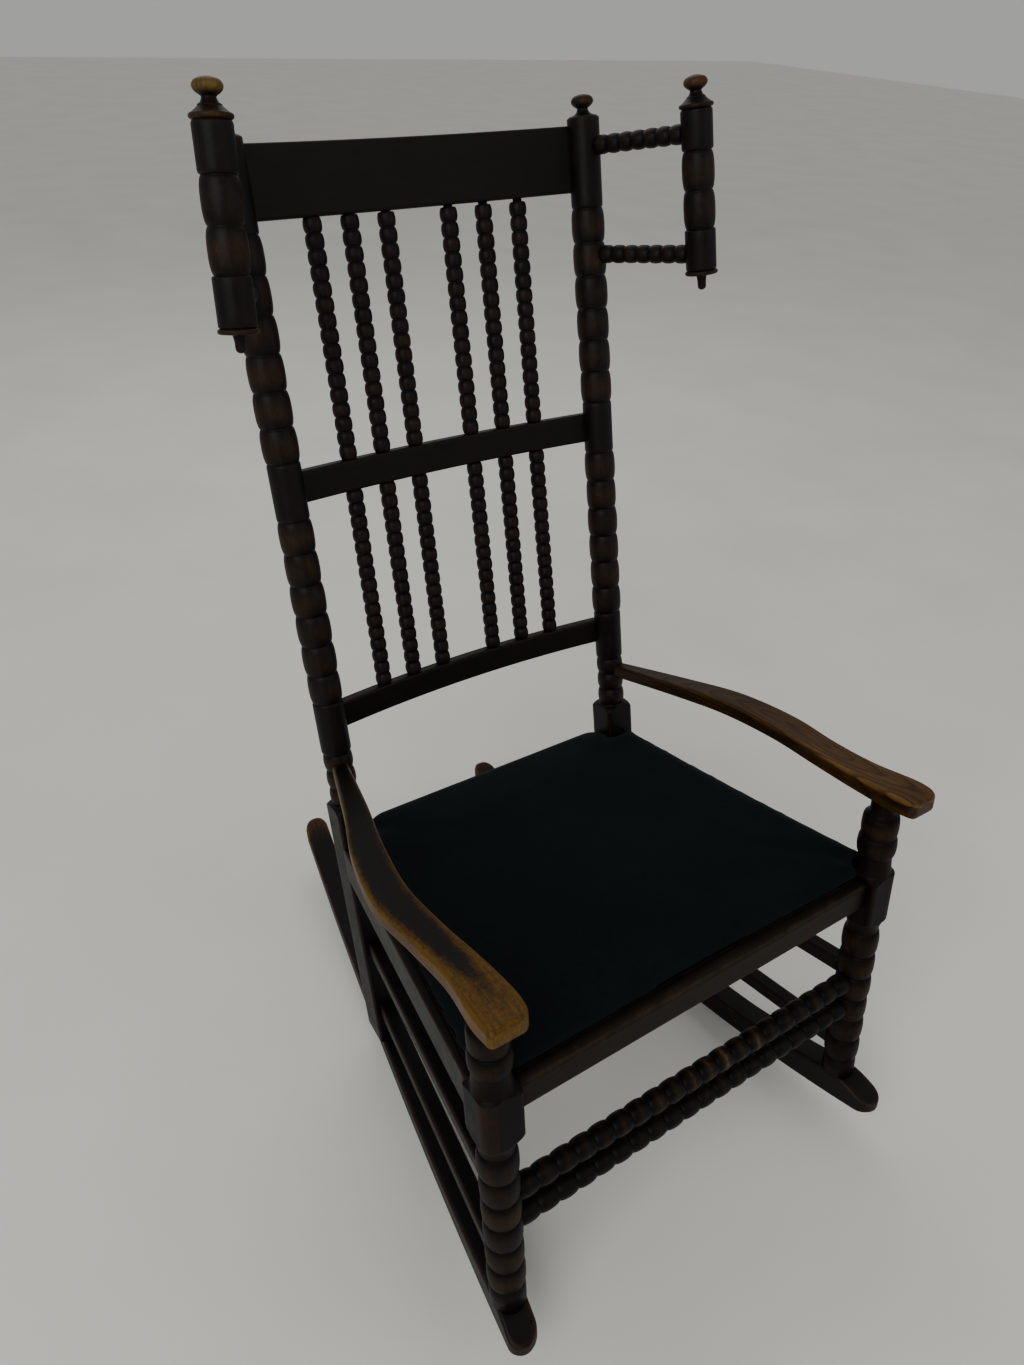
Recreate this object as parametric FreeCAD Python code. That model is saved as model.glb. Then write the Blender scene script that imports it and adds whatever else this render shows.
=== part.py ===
import FreeCAD, Part
import math
import os

Vec = FreeCAD.Vector

# A bobbin-turned rocking chair, in millimetres and degrees.
# It is drawn square: x across, y back from the front posts, z up from the top of the seat rails.
# At the end it is rocked back to where it balances and set on the floor.

# Plan of the frame
front_spacing = 514.0
back_spacing = 413.0
seat_depth = 418.0
seat_height = 369.0  # from the rockers' lowest line up to the top of the seat rails
recline = 4.8
fit = 0.1  # clearance round each tenon in its socket

# Back posts: heights run along the post from the seat
back_stock = 40.0
back_leg_lift = 37.0  # of the legs' tenons over the rockers' lowest line
back_block_top = 39.0
back_pommel = 13.5
back_neck_dia = 29.0
back_ring_dia = 36.0
back_ring_pitch = 23.9
back_ring_count = 3
back_plain_dia = 36.0
back_bead_dia = 38.5
back_groove_dia = 33.0
back_bead_pitch = 36.2
back_bead_count = 6
low_plain = 67.0
middle_plain = 62.0
top_plain = 93.5

# Mushroom finials on the back posts and the wing posts
finial_dome = 5.0
finial_collar_dia = 19.0
finial_collar = 1.5
finial_neck_dia = 10.0
finial_neck = 6.0
finial_cap_dia = 24.5
finial_cap_edge = 12.0
finial_height = 19.5

# Three bowed rails and the spindles between them
rail_thickness = 15.0
rail_bow = 19.0
rail_setback = 8.0  # of the rails' ends behind the posts' axes
rail_seat = 12.0  # depth of a rail end in its post
top_rail_height = 67.0
middle_rail_height = 34.5
lower_rail_height = 32.0
lower_rail_lift = 6.0  # above the middle of the posts' plain length
spindle_inner = 37.7
spindle_step = 43.2
spindles_per_side = 3
spindle_bobbins = 16
bobbin_dia = 19.0
bobbin_groove_dia = 13.0
bobbin_tenon_dia = 9.0
bobbin_tenon = 10.0
bobbin_sides = 6  # small turnings have this many flats
post_sides = 10  # and the posts this many

# Wings: short turned posts held forward of the back posts by two spindles each
wing_reach = 140.0
wing_upper_below = 31.1  # under the back posts' shoulders
wing_upper_fall = 3.0  # from the back post to the wing post
wing_upper_angle = 21.0
wing_lower_below = 142.1
wing_lower_fall = 9.5
wing_lower_angle = 24.3
wing_drop = 2.5  # of the wing post's shoulder below the back post's
wing_dia = 33.5
wing_cap_dia = 36.0
wing_cap = 4.0
wing_bead_dia = 34.5
wing_groove_dia = 29.0
wing_upper_plain = 48.5
wing_bead_pitch = 37.6
wing_bead_count = 2
wing_lower_plain = 46.5
pendant_dia = 10.5
pendant_length = 16.0
wing_bobbins = 7
wing_housing = 2.0  # how far the end bobbins sink into the posts

# Front posts: heights run up from the seat
front_stock = 42.5
front_corner_round = 13.0  # of the outer front corner of the square
front_block_low = -52.0
front_block_top = 0.0
front_pommel_low = 28.0
front_pommel_top = 24.0
front_neck_dia = 33.0
front_bead_dia = 42.0
front_groove_dia = 36.0
front_bead_count = 6
front_foot = 73.0  # from the rockers' lowest line up to the lowest bead
front_foot_dia = 40.0
front_foot_taper = 7.0
front_ring_dia = 42.0
front_ring_pitch = 26.6
front_ring_count = 2
front_ring_low = 31.5
front_top = 110.0
front_top_dia = 31.0
foot_tenon_dia = 20.0
foot_floor = 8.0  # wood left under the foot's socket
arm_tenon_dia = 18.0
arm_tenon = 11.0

# Arms from the front end to the back post: share of the seat's depth, middle out from the line of the
# posts, width, top over the front post and thickness
arm_plan = (
    (-0.1005, -1.58, 43.0, 20.5, 20.0),
    (-0.0478, 0.5, 46.0, 21.0, 22.0),
    (0.0766, 5.5, 39.0, 18.0, 21.0),
    (0.2153, 17.0, 37.0, 14.5, 20.0),
    (0.3828, 30.5, 39.0, 14.0, 20.0),
    (0.5622, 28.5, 36.0, 16.5, 20.0),
    (0.7297, 17.5, 29.0, 14.0, 19.0),
    (1.0048, 2.74, 19.0, 3.5, 17.0),
)
arm_nose = 8.0
arm_back_tenon_dia = 12.0
arm_back_tenon = 40.0  # its length from inside the arm to its end in the post

# Seat rails, flush with each other at the top
seat_rail_thickness = 20.0
seat_rail_height = 48.0
seat_rail_offset = 8.0  # outward from the line through the posts
front_rail_thickness = 22.0
front_rail_height = 35.0
front_rail_edge = 5.0
back_rail_offset = 8.0
rail_tenon = 14.0
rail_shoulder = 5.0

# Stretchers: heights run up from the rockers' lowest line
front_stretcher_dia = 23.0
front_stretcher_groove_dia = 16.0
front_stretcher_bobbins = 20
front_stretcher_upper = 208.0
front_stretcher_lower = 165.0
front_stretcher_tenon_dia = 12.0
front_stretcher_tenon = 10.0
front_stretcher_housing = 5.0
side_stretcher_size = 20.0
side_stretcher_seat = 12.0  # depth of a side stretcher's ends in the posts
side_upper_front = 217.0
side_upper_back = 210.0
side_lower_front = 91.0
side_lower_back = 107.0
back_stretcher_at = 179.0

# Rockers: both run on one cylinder about the cross axis
rocker_radius = 1400.0
rocker_centre = 119.5  # axis of that cylinder behind the front posts
rocker_width = 36.0
rocker_back_out = 3.5  # outward from the axes of the back legs
rocker_front = 47.0
rocker_tail = 357.0
rocker_depth = 30.0
rocker_tip_depth = 27.0
rocker_tip_round = 6.0
rocker_nose = 17.0
pin_dia = 8.0
pin_lift = 10.0  # over the end of the leg's tenon

# Seat: a board on the rails and an upholstered pad on the board
board_thickness = 6.0
board_inset = 3.0
pad_side_inset = 4.0
pad_front_inset = 8.0
pad_thickness = 15.0
pad_swell = 5.0
pad_edge = 7.0
pad_crown = 5.0
pad_slope = 90.0
pad_draw = 3.0
post_gap = 1.5  # between the posts and the pad

# Weights that decide where the chair balances, in kilograms per cubic metre
wood_density = 600.0
pad_density = 300.0

front_half = front_spacing / 2
back_half = back_spacing / 2
rings_low = back_block_top + back_pommel
rings_top = rings_low + back_ring_count * back_ring_pitch
low_top = rings_top + low_plain
middle_low = low_top + back_bead_count * back_bead_pitch
middle_top = middle_low + middle_plain
top_low = middle_top + back_bead_count * back_bead_pitch
post_top = top_low + top_plain
wing_upper_at = post_top - wing_upper_below
wing_lower_at = post_top - wing_lower_below
lower_rail_at = rings_top + low_plain / 2 + lower_rail_lift
middle_rail_at = middle_low + middle_plain / 2
top_rail_at = top_low + top_plain / 2
bow_radius = (back_half ** 2 + rail_bow ** 2) / (2 * rail_bow)
bead_top = front_block_low - front_pommel_low
bead_low = front_foot - seat_height
front_bead_pitch = (bead_top - bead_low) / front_bead_count
lean = math.radians(recline)
back_leg = (seat_height - back_leg_lift) / math.cos(lean)
back_foot = seat_depth - back_leg * math.sin(lean)
pin_at = back_leg - pin_lift
rocker_rise = rocker_radius - seat_height
arm_rows = []
for share, out, width, rise, thick in arm_plan:
    arm_middle = front_half + (back_half - front_half) * share + out
    arm_rows.append((share * seat_depth, arm_middle, width, front_top + rise, thick))

back_frame = FreeCAD.Placement(Vec(0, seat_depth, 0), FreeCAD.Rotation(Vec(1, 0, 0), -recline))


def in_back(shape):
    # From the leaning frame of the back, with z along the posts, to the square frame.
    placed = shape.copy()
    placed.Placement = back_frame.multiply(placed.Placement)
    return placed


def along(shape, start, end):
    # Sets a shape drawn up z so that its z axis runs from start towards end.
    placed = shape.copy()
    turn = FreeCAD.Rotation(Vec(0, 0, 1), end - start)
    placed.Placement = FreeCAD.Placement(start, turn).multiply(placed.Placement)
    return placed


def moved(shape, x, y, z):
    placed = shape.copy()
    placed.translate(Vec(x, y, z))
    return placed


def mirrored(shape):
    return shape.mirror(Vec(0, 0, 0), Vec(1, 0, 0))


def single(name, shape):
    # The one solid that a piece must be.
    if len(shape.Solids) != 1:
        raise ValueError("%s is %d solids" % (name, len(shape.Solids)))
    return shape.Solids[0]


def line(a, b):
    return Part.LineSegment(a, b).toShape()


def arc(a, b, c):
    return Part.Arc(a, b, c).toShape()


def box(x0, x1, y0, y1, z0, z1):
    return Part.makeBox(x1 - x0, y1 - y0, z1 - z0, Vec(x0, y0, z0))


def bar(start, end, width, height):
    # Straight bar between two points, its height as near upright as it can be.
    run = end - start
    stick = box(-width / 2, width / 2, 0, run.Length, -height / 2, height / 2)
    turn = FreeCAD.Rotation(run.cross(Vec(0, 0, 1)), run, Vec(0, 0, 1), "YZX")
    stick.Placement = FreeCAD.Placement(start, turn).multiply(stick.Placement)
    return stick


def turned(profile, sides):
    # Solid turned about z through points of diameter and height, with flats of the circle's area.
    step = 2 * math.pi / sides
    corner = math.sqrt(step / math.sin(step)) / 2
    loops = []
    for dia, z in profile:
        turns = [k * step for k in range(sides)]
        loops.append([Vec(corner * dia * math.cos(a), corner * dia * math.sin(a), z) for a in turns])
    faces = [Part.Face(Part.makePolygon(loop + loop[:1])) for loop in (loops[0], loops[-1])]
    for low, high in zip(loops, loops[1:]):
        for k in range(sides):
            n = (k + 1) % sides
            faces.append(Part.Face(Part.makePolygon([low[k], low[n], high[n], high[k], low[k]])))
    shell = Part.makeShell(faces)
    shell.sewShape()
    return Part.makeSolid(shell)


def peg(dia, low, high):
    return turned([(dia, low), (dia, high)], bobbin_sides)


def bead_row(low, count, pitch, bead_dia, groove_dia):
    # Points of a row of barrel beads, from the first groove to the last.
    points = [(groove_dia, low)]
    for i in range(count):
        z = low + i * pitch
        points.append((bead_dia, z + pitch * 0.3))
        points.append((bead_dia, z + pitch * 0.7))
        points.append((groove_dia, z + pitch))
    return points


def finial(low, body_dia):
    # Points from the top of a plain section, over its domed end, to the mushroom cap.
    return [
        (body_dia, low - finial_dome),
        (finial_collar_dia + (body_dia - finial_collar_dia) * 0.6, low - finial_dome * 0.3),
        (finial_collar_dia, low),
        (finial_collar_dia, low + finial_collar),
        (finial_neck_dia, low + finial_collar),
        (finial_neck_dia, low + finial_neck),
        (finial_cap_dia, low + finial_cap_edge),
        (finial_cap_dia * 0.9, low + finial_cap_edge + (finial_height - finial_cap_edge) * 0.5),
        (finial_cap_dia * 0.4, low + finial_height),
    ]


def bobbin_rod(length, count, bead_dia, groove_dia, tenon_dia, tenon):
    # Row of bobbins from z 0 to length with a tenon at each end.
    points = [(tenon_dia, -tenon), (tenon_dia, 0), (groove_dia, 0)]
    for i in range(count):
        points.append((bead_dia, (i + 0.5) * length / count))
        points.append((groove_dia, (i + 1) * length / count))
    points += [(tenon_dia, length), (tenon_dia, length + tenon)]
    return turned(points, bobbin_sides)


def grown(sizes):
    # Sizes of the hole for a bobbin rod: its three diameters with clearance, and its tenon's length.
    return [dia + 2 * fit for dia in sizes[:3]] + [sizes[3]]


def back_post():
    side = back_stock / 2
    square = box(-side, side, -side, side, -back_leg, post_top + finial_height)
    clear = back_stock * 1.5  # outside the corners of the square
    points = [
        (clear, -back_leg),
        (clear, back_block_top),
        (clear * 0.85, back_block_top + back_pommel * 0.5),
        (back_neck_dia, rings_low),
    ]
    points += bead_row(rings_low, back_ring_count, back_ring_pitch, back_ring_dia, back_neck_dia)[1:]
    for low, high in ((rings_top, low_top), (middle_low, middle_top)):
        points += [(back_plain_dia, low), (back_plain_dia, high)]
        points += bead_row(high, back_bead_count, back_bead_pitch, back_bead_dia, back_groove_dia)
    points.append((back_plain_dia, top_low))
    points += finial(post_top, back_plain_dia)
    post = square.common(turned(points, post_sides))
    return in_back(moved(post, back_half, 0, 0))


def bow_at(x):
    return rail_setback + rail_bow - bow_radius + math.sqrt(bow_radius ** 2 - x ** 2)


def bowed_rail(at, height, spare):
    # Board bent to the bow of the back, with its ends let into the posts.
    end = back_half - back_plain_dia / 2 + rail_seat
    centre = rail_setback + rail_bow - bow_radius
    outer = bow_radius + rail_thickness / 2 + spare
    inner = bow_radius - rail_thickness / 2 - spare
    low = at - height / 2 - spare
    outer_end = centre + math.sqrt(outer ** 2 - end ** 2)
    inner_end = centre + math.sqrt(inner ** 2 - end ** 2)
    a = Vec(-end, outer_end, low)
    b = Vec(end, outer_end, low)
    c = Vec(end, inner_end, low)
    d = Vec(-end, inner_end, low)
    edges = [
        arc(a, Vec(0, centre + outer, low), b),
        line(b, c),
        arc(c, Vec(0, centre + inner, low), d),
        line(d, a),
    ]
    return Part.Face(Part.Wire(edges)).extrude(Vec(0, 0, height + 2 * spare))


def spindle_tier(low, high):
    # Spindles of one tier and the holes for their tenons, in the frame of the back.
    length = high - low
    sizes = (bobbin_dia, bobbin_groove_dia, bobbin_tenon_dia, bobbin_tenon)
    rod = bobbin_rod(length, spindle_bobbins, *sizes)
    hole = peg(bobbin_tenon_dia + 2 * fit, -bobbin_tenon, length + bobbin_tenon)
    across = [spindle_inner + k * spindle_step for k in range(spindles_per_side)]
    places = [-x for x in reversed(across)] + across
    rods = [moved(rod, x, bow_at(x), low) for x in places]
    holes = [moved(hole, x, bow_at(x), low) for x in places]
    return rods, holes


def wing_point(at, splay):
    # Point on the axis of the right wing post, in the frame of the back.
    turn = math.radians(splay)
    return Vec(back_half + wing_reach * math.sin(turn), -wing_reach * math.cos(turn), at)


def wing_post():
    # Drawn down from its shoulder.
    beads_top = -wing_upper_plain
    beads_low = beads_top - wing_bead_count * wing_bead_pitch
    low = beads_low - wing_lower_plain
    cap_low = -finial_dome - wing_cap
    points = [
        (pendant_dia * 0.5, low - pendant_length),
        (pendant_dia * 0.85, low - pendant_length * 0.8),
        (pendant_dia, low),
        (wing_cap_dia, low),
        (wing_cap_dia, low + wing_cap),
        (wing_dia, low + wing_cap),
        (wing_dia, beads_low),
    ]
    points += bead_row(beads_low, wing_bead_count, wing_bead_pitch, wing_bead_dia, wing_groove_dia)
    points += [(wing_dia, beads_top), (wing_dia, cap_low), (wing_cap_dia, cap_low)]
    points += finial(0, wing_cap_dia)
    return turned(points, post_sides)


def wing_spindle(at, fall, splay):
    # Spindle from the back post to the wing post, its end bobbins let in, and the hole for it.
    far = wing_point(at - fall, splay)
    near = Vec(back_half, 0, at)
    run = far - near
    start = back_plain_dia / 2 - wing_housing
    length = run.Length - start - wing_dia / 2 + wing_housing
    sizes = (bobbin_dia, bobbin_groove_dia, bobbin_tenon_dia, bobbin_tenon)
    rod = bobbin_rod(length, wing_bobbins, *sizes)
    hole = bobbin_rod(length, wing_bobbins, *grown(sizes))
    begin = near + run * (start / run.Length)
    return in_back(along(rod, begin, far)), in_back(along(hole, begin, far))


def rocker_bottom(y):
    return rocker_rise - math.sqrt(rocker_radius ** 2 - (y - rocker_centre) ** 2)


def rocker_block():
    # Side view of a rocker carried across the whole right half of the chair.
    front = -rocker_front
    back = back_foot + rocker_tail
    first = front + rocker_tip_round
    last = back - rocker_tip_round
    middle = (front + back) / 2
    low = [Vec(0, y, rocker_bottom(y)) for y in (first, middle, last)]
    depths = (rocker_tip_depth, rocker_depth, rocker_tip_depth)
    high = [p + Vec(0, 0, depth) for p, depth in zip(low, depths)]
    front_tip = Vec(0, front, (low[0].z + high[0].z) / 2)
    back_tip = Vec(0, back, (low[2].z + high[2].z) / 2)
    edges = [
        arc(*low),
        arc(low[2], back_tip, high[2]),
        arc(high[2], high[1], high[0]),
        arc(high[0], front_tip, low[0]),
    ]
    return Part.Face(Part.Wire(edges)).extrude(Vec(front_spacing, 0, 0))


def rocker_strip():
    # Plan of the right rocker, straight under both feet and rounded at the tips.
    half = rocker_width / 2
    front = -rocker_front
    back = back_foot + rocker_tail
    spread = front_half - back_half - rocker_back_out

    def point(y, side):
        return Vec(front_half - spread * y / back_foot + side * half, y, -rocker_radius)

    a = point(front + rocker_nose, -1)
    b = point(front + rocker_nose, 1)
    c = point(back - rocker_nose, 1)
    d = point(back - rocker_nose, -1)
    edges = [line(b, c), arc(c, point(back, 0), d), line(d, a), arc(a, point(front, 0), b)]
    return Part.Face(Part.Wire(edges)).extrude(Vec(0, 0, rocker_radius))


def front_post(rocker_side):
    side = front_stock / 2
    low = rocker_bottom(0) + foot_floor
    square = box(-side, side, -side, side, low, front_top)
    corner = [e for e in square.Edges if e.BoundBox.XMin > 0 and e.BoundBox.YMax < 0]
    square = square.makeFillet(front_corner_round, corner)
    clear = front_stock * 1.5
    neck_low = front_block_top + front_pommel_top
    ring_top = front_ring_low + front_ring_count * front_ring_pitch
    points = [(front_foot_dia, low), (front_foot_dia, bead_low - front_foot_taper)]
    points += bead_row(bead_low, front_bead_count, front_bead_pitch, front_bead_dia, front_groove_dia)
    points += [
        (front_stock, front_block_low - front_pommel_low * 0.4),
        (clear, front_block_low),
        (clear, front_block_top),
        (front_stock, front_block_top + front_pommel_top * 0.3),
        (front_neck_dia, neck_low),
    ]
    points += bead_row(front_ring_low, front_ring_count, front_ring_pitch, front_ring_dia, front_neck_dia)
    points += [(front_top_dia, ring_top), (front_top_dia, front_top)]
    post = moved(square.common(turned(points, post_sides)), front_half, 0, 0)
    foot_pin = moved(peg(foot_tenon_dia, low, bead_low), front_half, 0, 0)
    arm_pin = moved(peg(arm_tenon_dia, front_top, front_top + arm_tenon), front_half, 0, 0)
    return post.cut(rocker_side).fuse([foot_pin, arm_pin])


def curve(points):
    spline = Part.BSplineCurve()
    spline.interpolate(points)
    return spline.toShape()


def row_middle(row):
    return Vec(row[1], row[0], row[3] - row[4] / 2)


def arm_tenon_pin(spare):
    # Round tenon along the arm's own line, ending in the back post.
    end = row_middle(arm_rows[-1])
    run = end - row_middle(arm_rows[-2])
    pin = peg(arm_back_tenon_dia + 2 * spare, -arm_back_tenon, 0)
    return along(pin, end, end + run)


def arm():
    # Plan of the arm crossed with its side view.
    outer = [Vec(middle + width / 2, y, 0) for y, middle, width, top, thick in arm_rows]
    inner = [Vec(middle - width / 2, y, 0) for y, middle, width, top, thick in arm_rows]
    upper = [Vec(0, y, top) for y, middle, width, top, thick in arm_rows]
    under = [Vec(0, y, top - thick) for y, middle, width, top, thick in arm_rows]
    nose = Vec(arm_rows[0][1], arm_rows[0][0] - arm_nose, 0)
    nose_side = Vec(0, nose.y, row_middle(arm_rows[0]).z)
    plan = [curve(outer), line(outer[-1], inner[-1]), curve(inner), arc(inner[0], nose, outer[0])]
    view = [curve(upper), line(upper[-1], under[-1]), curve(under), arc(under[0], nose_side, upper[0])]
    body = Part.Face(Part.Wire(plan)).extrude(Vec(0, 0, front_spacing))
    body = body.common(Part.Face(Part.Wire(view)).extrude(Vec(front_spacing, 0, 0)))
    ring = turned([(back_ring_dia, 0), (back_ring_dia, post_top)], post_sides)
    body = body.cut(in_back(moved(ring, back_half, 0, 0))).fuse(arm_tenon_pin(0))
    seat = turned([(front_top_dia + 2 * fit, 0), (front_top_dia + 2 * fit, front_top)], post_sides)
    hole = peg(arm_tenon_dia + 2 * fit, 0, front_top + arm_tenon)
    return body.cut(moved(seat.fuse(hole), front_half, 0, 0))


def side_rail_line():
    # Ends of a side seat rail's centre line, on the axes of its posts but moved outward.
    front = Vec(front_half, 0, -seat_rail_height / 2)
    back = Vec(back_half, seat_depth, -seat_rail_height / 2)
    out = (back - front).cross(Vec(0, 0, 1))
    out.normalize()
    return front + out * seat_rail_offset, back + out * seat_rail_offset


def side_rail_tenon(spare):
    front, back = side_rail_line()
    run = back - front
    run.normalize()
    trim = 2 * (rail_shoulder - spare)
    begin = front + run * (front_stock / 2 - rail_tenon)
    end = back - run * (back_stock / 2 - rail_tenon)
    return bar(begin, end, seat_rail_thickness - trim, seat_rail_height - trim)


def side_rail():
    # Its ends are trimmed to the faces of the posts' squares.
    body = bar(*side_rail_line(), seat_rail_thickness, seat_rail_height)
    reach = seat_depth / 2
    front_end = box(0, front_spacing, -reach, front_stock / 2, -reach, reach)
    back_end = box(0, front_spacing, -back_stock / 2, reach, -reach, reach)
    return body.cut([front_end, in_back(back_end)]).fuse(side_rail_tenon(0))


def cross_rail_tenon(half, y, thick, height, spare):
    trim = rail_shoulder - spare
    reach = half + rail_tenon
    return box(-reach, reach, y - thick / 2 + trim, y + thick / 2 - trim, -height + trim, -trim)


def front_rail():
    half = front_half - front_stock / 2
    body = box(-half, half, -front_rail_thickness / 2, front_rail_thickness / 2, -front_rail_height, 0)
    worn = [e for e in body.Edges if e.BoundBox.ZMin > -1 and e.BoundBox.YMax < 0 and e.Length > half]
    body = body.makeFillet(front_rail_edge, worn)
    return body.fuse(cross_rail_tenon(half, 0, front_rail_thickness, front_rail_height, 0))


def back_rail():
    half = back_half - back_stock / 2
    y = seat_depth + back_rail_offset
    thick = seat_rail_thickness
    body = box(-half, half, y - thick / 2, y + thick / 2, -seat_rail_height, 0)
    return body.fuse(cross_rail_tenon(half, y, thick, seat_rail_height, 0))


def side_stretcher(front_at, back_at, spare):
    # Square stick let whole into the beads of the front post and the square of the back leg.
    front = Vec(front_half, 0, front_at - seat_height)
    back_z = back_at - seat_height
    back = Vec(back_half, seat_depth + back_z * math.tan(lean), back_z)
    run = back - front
    run.normalize()
    begin = front + run * (front_bead_dia / 2 - side_stretcher_seat)
    end = back - run * (back_stock / 2 - side_stretcher_seat)
    return bar(begin, end, side_stretcher_size + 2 * spare, side_stretcher_size + 2 * spare)


def back_stretcher(spare):
    half = back_half - back_stock / 2 + side_stretcher_seat
    z = back_stretcher_at - seat_height
    y = seat_depth + z * math.tan(lean)
    size = side_stretcher_size + 2 * spare
    return bar(Vec(-half, y, z), Vec(half, y, z), size, size)


def front_stretcher(at):
    # Bobbin rail between the front posts, its end bobbins let in, and the hole for it.
    half = front_half - front_bead_dia / 2 + front_stretcher_housing
    dias = (front_stretcher_dia, front_stretcher_groove_dia, front_stretcher_tenon_dia)
    sizes = dias + (front_stretcher_tenon,)
    rod = bobbin_rod(2 * half, front_stretcher_bobbins, *sizes)
    hole = bobbin_rod(2 * half, front_stretcher_bobbins, *grown(sizes))
    begin = Vec(-half, 0, at - seat_height)
    end = Vec(half, 0, at - seat_height)
    return along(rod, begin, end), along(hole, begin, end)


def leg_tenon(spare):
    # Round tenon along a back leg's axis, ending in the rocker.
    rod = peg(foot_tenon_dia + 2 * spare, -back_leg - spare, -back_leg + rocker_depth)
    return in_back(moved(rod, back_half, 0, 0))


def pin(spare):
    # Peg across a rocker and the tenon of the back leg, flush with the rocker's sides.
    rod = peg(pin_dia + 2 * spare, -rocker_width, rocker_width)
    return in_back(along(rod, Vec(back_half, 0, -pin_at), Vec(back_spacing, 0, -pin_at)))


def seat_outline(inset, z):
    # Outline on the rails, notched round the four posts; its front and sides draw in by a little.
    front = -front_rail_thickness / 2 + pad_front_inset + inset
    back = seat_depth + back_rail_offset + seat_rail_thickness / 2 - pad_side_inset - inset
    front_x = front_half - front_stock / 2 - post_gap - inset
    back_x = back_half - back_stock / 2 - post_gap - inset
    front_y = front_stock / 2 + post_gap + inset
    back_y = seat_depth - back_stock / 2 - post_gap - inset
    reach = seat_rail_offset + seat_rail_thickness / 2 - pad_side_inset - inset

    def side(y):
        return front_half + (back_half - front_half) * y / seat_depth + reach

    middle_y = (front_y + back_y) / 2
    right = [
        Vec(front_x, front, z),
        Vec(front_x, front_y, z),
        Vec(side(front_y), front_y, z),
        Vec(side(back_y), back_y, z),
        Vec(back_x, back_y, z),
        Vec(back_x, back, z),
    ]
    left = [Vec(-p.x, p.y, z) for p in right]
    bend = Vec(side(middle_y) - pad_draw, middle_y, z)
    edges = [
        arc(left[0], Vec(0, front + pad_draw, z), right[0]),
        line(right[0], right[1]),
        line(right[1], right[2]),
        arc(right[2], bend, right[3]),
        line(right[3], right[4]),
        line(right[4], right[5]),
        line(right[5], left[5]),
        line(left[5], left[4]),
        line(left[4], left[3]),
        arc(left[3], Vec(-bend.x, middle_y, z), left[2]),
        line(left[2], left[1]),
        line(left[1], left[0]),
    ]
    return Part.Wire(edges)


def seat_board():
    return Part.Face(seat_outline(board_inset, 0)).extrude(Vec(0, 0, board_thickness))


def seat_pad():
    # Sides that swell to their widest line and draw in above it, then slope up to a crown.
    low = board_thickness
    top = low + pad_thickness
    levels = (
        (pad_edge / 3, low),
        (0, low + pad_swell),
        (pad_edge, top - pad_crown),
        (pad_slope, top),
    )
    return Part.makeLoft([seat_outline(inset, z) for inset, z in levels], True, True)


rocker_side = rocker_block()
rocker = rocker_side.common(rocker_strip())
right_side = {}
nodes = {}

upper_low = middle_rail_at + middle_rail_height / 2
upper_rods, upper_holes = spindle_tier(upper_low, top_rail_at - top_rail_height / 2)
lower_low = lower_rail_at + lower_rail_height / 2
lower_rods, lower_holes = spindle_tier(lower_low, middle_rail_at - middle_rail_height / 2)
rails = (
    ("top_rail", top_rail_at, top_rail_height, upper_holes),
    ("middle_rail", middle_rail_at, middle_rail_height, upper_holes + lower_holes),
    ("lower_rail", lower_rail_at, lower_rail_height, lower_holes),
)
post = back_post()
for name, at, height, holes in rails:
    nodes[name] = in_back(bowed_rail(at, height, 0).cut(holes))
    post = post.cut(in_back(bowed_rail(at, height, fit)))
for i in range(2 * spindles_per_side):
    nodes["spindle_upper_%d" % (i + 1)] = in_back(upper_rods[i])
    nodes["spindle_lower_%d" % (i + 1)] = in_back(lower_rods[i])

wing_spindle_upper, wing_hole_upper = wing_spindle(wing_upper_at, wing_upper_fall, wing_upper_angle)
wing_spindle_lower, wing_hole_lower = wing_spindle(wing_lower_at, wing_lower_fall, wing_lower_angle)
wing_low = wing_point(wing_lower_at - wing_lower_fall, wing_lower_angle)
wing_run = wing_point(wing_upper_at - wing_upper_fall, wing_upper_angle) - wing_low
wing_shoulder = wing_low + wing_run * ((post_top - wing_drop - wing_low.z) / wing_run.z)
wing = in_back(along(wing_post(), wing_shoulder, wing_shoulder + wing_run))

stretcher_upper, stretcher_hole_upper = front_stretcher(front_stretcher_upper)
stretcher_lower, stretcher_hole_lower = front_stretcher(front_stretcher_lower)
side_runs = {"upper": (side_upper_front, side_upper_back), "lower": (side_lower_front, side_lower_back)}
side_sockets = [side_stretcher(*run, fit) for run in side_runs.values()]
front_inside = front_half - front_stock / 2
front_socket = cross_rail_tenon(front_inside, 0, front_rail_thickness, front_rail_height, fit)
back_inside = back_half - back_stock / 2
back_y = seat_depth + back_rail_offset
back_socket = cross_rail_tenon(back_inside, back_y, seat_rail_thickness, seat_rail_height, fit)

foot_low = rocker_bottom(0) + foot_floor
foot_socket = moved(peg(foot_tenon_dia + 2 * fit, foot_low, foot_low + rocker_depth), front_half, 0, 0)
right_side["back_post"] = post.cut([
    wing_hole_upper, wing_hole_lower, side_rail_tenon(fit), back_socket, back_stretcher(fit),
    arm_tenon_pin(fit), rocker_side] + side_sockets).fuse(leg_tenon(0)).cut(pin(fit))
right_side["front_post"] = front_post(rocker_side).cut(
    [front_socket, side_rail_tenon(fit), stretcher_hole_upper, stretcher_hole_lower] + side_sockets)
right_side["wing_post"] = wing.cut([wing_hole_upper, wing_hole_lower])
right_side["wing_spindle_upper"] = wing_spindle_upper
right_side["wing_spindle_lower"] = wing_spindle_lower
right_side["arm"] = arm()
right_side["seat_rail_side"] = side_rail()
right_side["side_stretcher_upper"] = side_stretcher(*side_runs["upper"], 0)
right_side["side_stretcher_lower"] = side_stretcher(*side_runs["lower"], 0)
right_side["rocker"] = rocker.cut([foot_socket, leg_tenon(fit), pin(fit)])
right_side["rocker_pin"] = pin(0).common(rocker)
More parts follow.
